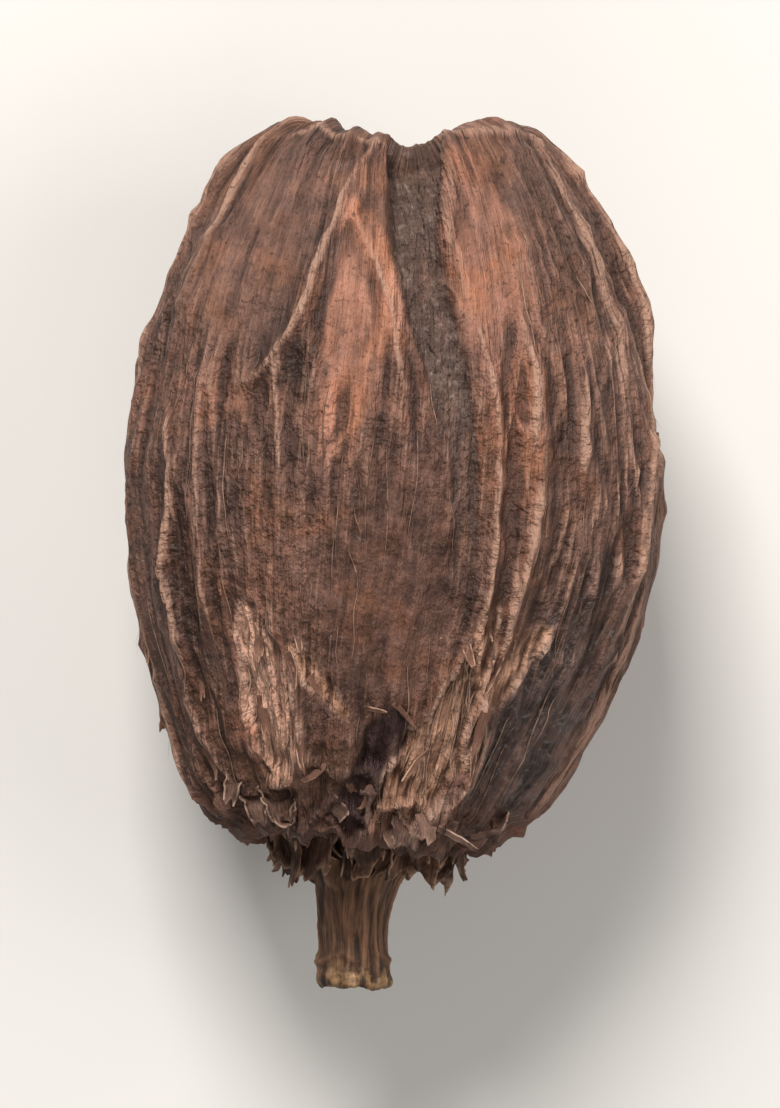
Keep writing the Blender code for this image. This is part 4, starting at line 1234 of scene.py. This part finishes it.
def scale_paths():
    """Smaller scales and strips of husk that close in on the stalk's root."""
    rng = random.Random(SCALES.seed)
    paths = []
    for index in range(SCALES.count):
        outward = outward_at(2.0 * math.pi * (index + rng.uniform(*SCALES.jitter)) / SCALES.count)
        reach = rng.uniform(*SCALES.reach)
        length = rng.uniform(*SCALES.length)
        forward = unit(outward * (rng.uniform(*SCALES.lean) - SCALES.lean_in * reach) - AHEAD)
        sideways = np.cross(outward, AHEAD) * rng.uniform(*SCALES.side_lean)
        root = ring_place(STALK_X, SCALES.root_y, outward, reach)
        curl = rng.choice(SCALES.curls) * rng.uniform(*SCALES.curl_share)
        lift, sway = rng.uniform(*SCALES.lift), rng.uniform(*SCALES.sway)
        path = curled_path(root, forward + sideways, outward, length, lift, curl, sway)
        paths.append((path, rng.uniform(*SCALES.width), rng.uniform(*SCALES.tip), rng.uniform(*SCALES.twist)))
    return paths


def tooth_paths():
    """The teeth in the scar, in an inner and an outer ring."""
    rng = random.Random(TEETH.seed)
    paths = []
    for index in range(TEETH.count):
        outward = outward_at(2.0 * math.pi * (index + rng.uniform(*TEETH.jitter)) / TEETH.count)
        reach = rng.uniform(*(TEETH.outer_reach if index % 2 else TEETH.inner_reach))
        root = ring_place(TEETH.root_x, TEETH.root_y, outward, reach)
        forward = AHEAD + outward * rng.uniform(*TEETH.lean)
        length = rng.uniform(*TEETH.length)
        curl, sway = rng.uniform(*TEETH.curl), rng.uniform(*TEETH.sway)
        path = curled_path(root, forward, outward, length, 0.0, curl, sway)
        paths.append((path, rng.uniform(*TEETH.width), TEETH.tip, rng.uniform(*TEETH.twist)))
    return paths


def surface_tree(piece):
    """The piece's surface, for rays to meet."""
    piece.data.calc_loop_triangles()
    corners = [t.vertices[:] for t in piece.data.loop_triangles]
    return BVHTree.FromPolygons([v.co[:] for v in piece.data.vertices], corners)


def from_above(tree, x_mm, y_mm):
    """The husk's point and outward direction under a place on the drawn paths."""
    found = tree.ray_cast(Vector((x_mm * MM, y_mm * MM, RAY_START)), Vector(-UP))
    return np.array(found[0]), np.array(found[1])


def from_side(tree, turn, along):
    """The husk's point and outward direction at an angle round it."""
    out = Vector(outward_at(turn))
    found = tree.ray_cast(Vector((0.0, along, AXIS_HEIGHT)) + RAY_START * out, -out)
    return np.array(found[0]), np.array(found[1])


def heading_at(degrees):
    """The level direction at an angle from +x."""
    return np.array((math.cos(math.radians(degrees)), math.sin(math.radians(degrees)), 0.0))


def along_surface(direction, out):
    """The direction laid into the surface that faces out."""
    return unit(direction - out * (direction @ out))


def flap_paths(tree):
    """Broad and narrow flaps of husk, curled back or hanging over the stalk's root."""
    rng = random.Random(FLAPS.seed)
    paths = []
    for x, y, heading, length, width, lift, curl in FLAPS_MM:
        root, out = from_above(tree, x, y)
        out = unit(out + FLAPS.upright * UP)
        ahead = heading_at(heading)
        root = root - ahead * FLAPS.back - out * FLAPS.sunk
        path = curled_path(root, ahead, out, length * MM, lift, curl, rng.uniform(*FLAPS.sway))
        paths.append((path, width * MM, FLAPS.tip, rng.uniform(*FLAPS.twist)))
    return paths


def curl_paths(tree):
    """Small curls of skin at the edges of the tears, on the upper side and round the pod."""
    rng = random.Random(CURLS.seed)
    paths = []
    for x, y, heading, length, width, curl in CURLS_MM:
        root, out = from_above(tree, x, y)
        ahead = along_surface(heading_at(heading), out)
        root = root - ahead * CURLS.back - out * CURLS.sunk
        path = curled_path(root, ahead, out, length * MM, CURLS.lift, curl, rng.uniform(*CURLS.sway))
        paths.append((path, width * MM, CURLS.tip, rng.uniform(*CURLS.twist)))
    for _ in range(SIDE_CURLS.count):
        turn = math.radians(rng.uniform(*SIDE_CURLS.turn))
        root, out = from_side(tree, turn, rng.uniform(*SIDE_CURLS.y))
        around = np.cross(outward_at(turn), AHEAD) * rng.uniform(*SIDE_CURLS.sideways)
        ahead = along_surface(around + AHEAD * rng.choice((-1.0, 1.0)), out)
        length = rng.uniform(*SIDE_CURLS.length)
        if root[2] < SIDE_CURLS.least_height:
            continue
        root = root - ahead * SIDE_CURLS.back - out * SIDE_CURLS.sunk
        curl, sway = rng.uniform(*SIDE_CURLS.curl), rng.uniform(*SIDE_CURLS.sway)
        path = curled_path(root, ahead, out, length, SIDE_CURLS.lift, curl, sway)
        paths.append((path, rng.uniform(*SIDE_CURLS.width), SIDE_CURLS.tip, rng.uniform(*SIDE_CURLS.twist)))
    return paths


def draped_path(tree, start_turn, start_y, length, drift, lift):
    """A path that lies along the husk, a little above it, with its tip lifted."""
    points, ups = [], []
    swing, waves, wave_shift = DRAPE_WAVES
    for share in np.linspace(0.0, 1.0, DRAPE_STEPS):
        turn = start_turn + drift * share + swing * math.sin(waves * share + start_turn * wave_shift)
        point, out = from_side(tree, turn, start_y - length * share)
        lifted = max(0.0, share - LIFTED_FROM) / (1.0 - LIFTED_FROM)
        points.append(point + out * (DRAPE_HEIGHT + lift * lifted**2))
        ups.append(out)
    points, ups = np.array(points), np.array(ups)
    runs = np.gradient(points, axis=0)
    sides = np.cross(runs, ups)
    sides /= np.linalg.norm(sides, axis=1)[:, None]
    ups = np.cross(sides, runs)
    ups /= np.linalg.norm(ups, axis=1)[:, None]
    return points, sides, ups


def make_fibres(template, tree):
    """Loose fibres that lie along the husk, thickest in the tears and at the lower end."""
    rng = random.Random(LOOSE.seed)
    copies = []
    for index in range(LOOSE.count):
        in_tear = index < LOOSE.count_in_tears
        if in_tear:
            place = np.array([rng.uniform(*LOOSE.place_in_tear)])
            x, y, half_width, _ = on_curve(TORN_MM[index % 2], place)[0]
            x += rng.uniform(*LOOSE.across_tear) * half_width
            point, _ = from_above(tree, x, y)
            start_turn = math.atan2(point[2] - AXIS_HEIGHT, point[0])
            start_y = y * MM + LOOSE.start_ahead
            length = rng.uniform(*LOOSE.length_in_tear)
        else:
            start_turn = math.radians(rng.uniform(*LOOSE.turn))
            start_y = rng.uniform(*LOOSE.y)
            length = rng.uniform(*LOOSE.length)
        length = min(length, start_y - LOOSE.end_y)
        drift = rng.uniform(*LOOSE.drift)
        lift = rng.choice((0.0,) * LOOSE.flat_for_each + (rng.uniform(*LOOSE.lift),))
        radius = rng.uniform(*LOOSE.radius) * (LOOSE.gain_in_tear if in_tear else 1.0)
        fibre = copy_of(template, f"fibre_{index}")
        bend_fibre(fibre, draped_path(tree, start_turn, start_y, length, drift, lift), radius)
        paint_evenly(fibre, "tone", rng.uniform(0.0, 1.0 if in_tear else LOOSE.brightest))
        copies.append(fibre)
    return join_copies(copies, "loose_fibres")


def set_input(tree, socket, value):
    """Links a socket to another node's output, or sets it."""
    if isinstance(value, bpy.types.NodeSocket):
        tree.links.new(value, socket)
    elif socket.type == "RGBA":
        socket.default_value = (*value, 1.0)
    else:
        socket.default_value = value


def add_node(tree, kind, inputs=None, **settings):
    """A shader node with its settings, and its inputs linked or set."""
    node = tree.nodes.new(kind)
    for name, value in settings.items():
        setattr(node, name, value)
    for name, value in (inputs or {}).items():
        set_input(tree, node.inputs[name], value)
    return node


def calculated(tree, operation, *values):
    """A number worked out from one or two others."""
    return add_node(tree, "ShaderNodeMath", dict(enumerate(values)), operation=operation).outputs[0]


def between(tree, value, low, high, to_low=0.0, to_high=1.0):
    """The value's place from low to high, held within to_low and to_high."""
    places = {"Value": value, "From Min": low, "From Max": high, "To Min": to_low, "To Max": to_high}
    return add_node(tree, "ShaderNodeMapRange", places).outputs["Result"]


def speckle(tree, vector, scale, detail, roughness, distortion=0.0):
    """Noise from about 0.3 to 0.7 at a scale, or at one scale for each axis."""
    if isinstance(scale, tuple):
        vector = add_node(tree, "ShaderNodeMapping", {"Vector": vector, "Scale": scale}).outputs["Vector"]
        scale = 1.0
    inputs = {"Vector": vector, "Scale": scale, "Detail": detail, "Roughness": roughness,
              "Distortion": distortion}
    return add_node(tree, "ShaderNodeTexNoise", inputs).outputs["Fac"]


def coordinates_of(tree, name):
    """The piece's grain, the place on its sheet, or the place in the pod."""
    if name == "grain":
        return add_node(tree, "ShaderNodeAttribute", attribute_name="grain").outputs["Vector"]
    return add_node(tree, "ShaderNodeTexCoord").outputs[{"sheet": "UV", "place": "Object"}[name]]


def value_of(tree, values, name):
    """A value made before, a place on the sheet, or a number that the piece keeps."""
    if name in values:
        return values[name]
    if name in ("off_middle", "along"):
        sheet = add_node(tree, "ShaderNodeSeparateXYZ", {"Vector": coordinates_of(tree, "sheet")})
        from_middle = calculated(tree, "SUBTRACT", sheet.outputs["X"], 0.5)
        values.update(along=sheet.outputs["Y"], off_middle=calculated(tree, "ABSOLUTE", from_middle))
    else:
        values[name] = add_node(tree, "ShaderNodeAttribute", attribute_name=name).outputs["Fac"]
    return values[name]


def product_of(tree, values, terms):
    """The product of some numbers, values and places between two numbers."""
    result = None
    for term in terms:
        if isinstance(term, str):
            term = value_of(tree, values, term)
        elif isinstance(term, tuple):
            term = between(tree, value_of(tree, values, term[0]), *term[1:])
        result = term if result is None else calculated(tree, "MULTIPLY", result, term)
    return result


def sum_of(tree, values, products):
    """The sum of some products, or a plain number as it is."""
    if isinstance(products, float):
        return products
    result = product_of(tree, values, products[0])
    for terms in products[1:]:
        result = calculated(tree, "ADD", result, product_of(tree, values, terms))
    return result


def mixed(tree, share, under, over, way="MIX"):
    """One colour laid over another by a share."""
    node = add_node(tree, "ShaderNodeMix", {0: share}, data_type="RGBA", blend_type=way, clamp_factor=True)
    set_input(tree, node.inputs[UNDER_SOCKET], under)
    set_input(tree, node.inputs[OVER_SOCKET], over)
    return node.outputs[2]


def new_finish(name):
    """A material, its node tree and its shader."""
    material = bpy.data.materials.new(name)
    material.use_nodes = True
    tree = material.node_tree
    return material, tree, tree.nodes["Principled BSDF"]


def make_finish(name, layers, noises, roughness, sums=None, specular=None, height=None, bump=None):
    """A material from its noises, sums and layers of colour. The last layer is its colour."""
    material, tree, shader = new_finish(name)
    values, colours = {}, {}
    for made, (coordinates, *settings) in noises.items():
        values[made] = speckle(tree, coordinates_of(tree, coordinates), *settings)
    for made, products in (sums or {}).items():
        values[made] = sum_of(tree, values, products)
    for made, share, *laid in layers:
        laid = [colours.get(colour, colour) for colour in laid]
        colours[made] = mixed(tree, product_of(tree, values, share), *laid)
    set_input(tree, shader.inputs["Base Color"], colours[made])
    set_input(tree, shader.inputs["Roughness"], sum_of(tree, values, roughness))
    if specular:
        set_input(tree, shader.inputs["Specular IOR Level"], specular)
    if bump:
        strength, distance = bump
        raised = {"Height": sum_of(tree, values, height), "Strength": strength, "Distance": distance}
        set_input(tree, shader.inputs["Normal"], add_node(tree, "ShaderNodeBump", raised).outputs["Normal"])
    return material


def finish_piece(piece, material):
    """Gives a piece its finish and place, and ties it to the frame."""
    piece.data.transform(Matrix.Translation(POD_SHIFT))
    piece.data.materials.clear()
    piece.data.materials.append(material)
    piece.data.shade_smooth()
    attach(piece, "root")


def add_floor():
    """A plain pale surface."""
    deselect_all()
    bpy.ops.mesh.primitive_plane_add(size=FLOOR_SIZE)
    floor = bpy.context.object
    floor.name = "floor"
    material, tree, shader = new_finish("pale_floor")
    set_input(tree, shader.inputs["Base Color"], FLOOR_COLOUR)
    set_input(tree, shader.inputs["Roughness"], FLOOR_ROUGHNESS)
    floor.data.materials.append(material)


def add_light(name, place, size, power):
    """A soft square light aimed at the pod."""
    light = bpy.data.lights.new(name, "AREA")
    light.size = size
    light.energy = power
    light.color = LIGHT_COLOUR
    holder = bpy.data.objects.new(name, light)
    bpy.context.collection.objects.link(holder)
    holder.location = place
    aim = Vector((0.0, 0.0, AXIS_HEIGHT)) - Vector(place)
    holder.rotation_euler = aim.to_track_quat("-Z", "Y").to_euler()


def add_studio():
    """The lights and a pale sky."""
    scene = bpy.context.scene
    scene.view_settings.view_transform = "Standard"
    world = bpy.data.worlds.new("studio")
    world.use_nodes = True
    tree = world.node_tree
    set_input(tree, tree.nodes["Background"].inputs["Color"], SKY_COLOUR)
    set_input(tree, tree.nodes["Background"].inputs["Strength"], SKY_STRENGTH)
    scene.world = world
    for light in LIGHTS:
        add_light(*light)


def add_camera():
    """Looks straight down on the pod, whose calyx end leans a little right, as in the photo."""
    camera = bpy.data.cameras.new("camera")
    camera.lens = LENS
    camera.sensor_fit = "VERTICAL"
    camera.sensor_height = SENSOR_HEIGHT
    camera.clip_start = CLIP_START
    holder = bpy.data.objects.new("camera", camera)
    bpy.context.collection.objects.link(holder)
    holder.location = (0.0, 0.0, CAMERA_HEIGHT)
    holder.rotation_euler = (0.0, 0.0, POD_LEAN)
    bpy.context.scene.camera = holder


def main():
    husk = make_husk()
    stalk = make_stalk()
    tree = surface_tree(husk)
    strip = add_strip_template()
    fibre = add_fibre_template()
    skirt = make_strips(strip, skirt_paths(), "torn_skirt", *SKIRT_SHEET)
    scales = make_strips(strip, scale_paths(), "skirt_scales", *SCALE_SHEET)
    curls = make_strips(strip, curl_paths(tree), "skin_curls", *CURL_SHEET)
    flaps = make_strips(strip, flap_paths(tree), "end_flaps", *FLAP_SHEET)
    teeth = make_strips(strip, tooth_paths(), "calyx_teeth", *TOOTH_SHEET)
    fibres = make_fibres(fibre, tree)
    for template in (strip, fibre):
        bpy.data.objects.remove(template)
    for piece in (husk, stalk, skirt):
        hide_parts("pod")
    torn = make_finish("torn_husk", **TORN_FINISH)
    finish_piece(husk, make_finish("dried_husk", **HUSK_FINISH))
    finish_piece(stalk, make_finish("cut_stalk", **STALK_FINISH))
    finish_piece(skirt, torn)
    finish_piece(scales, torn)
    finish_piece(curls, make_finish("curled_skin", **SKIN_FINISH))
    finish_piece(flaps, make_finish("husk_flap", **FLAP_FINISH))
    finish_piece(teeth, torn)
    finish_piece(fibres, make_finish("loose_fibre", **FIBRE_FINISH))
    add_floor()
    add_studio()
    add_camera()


main()
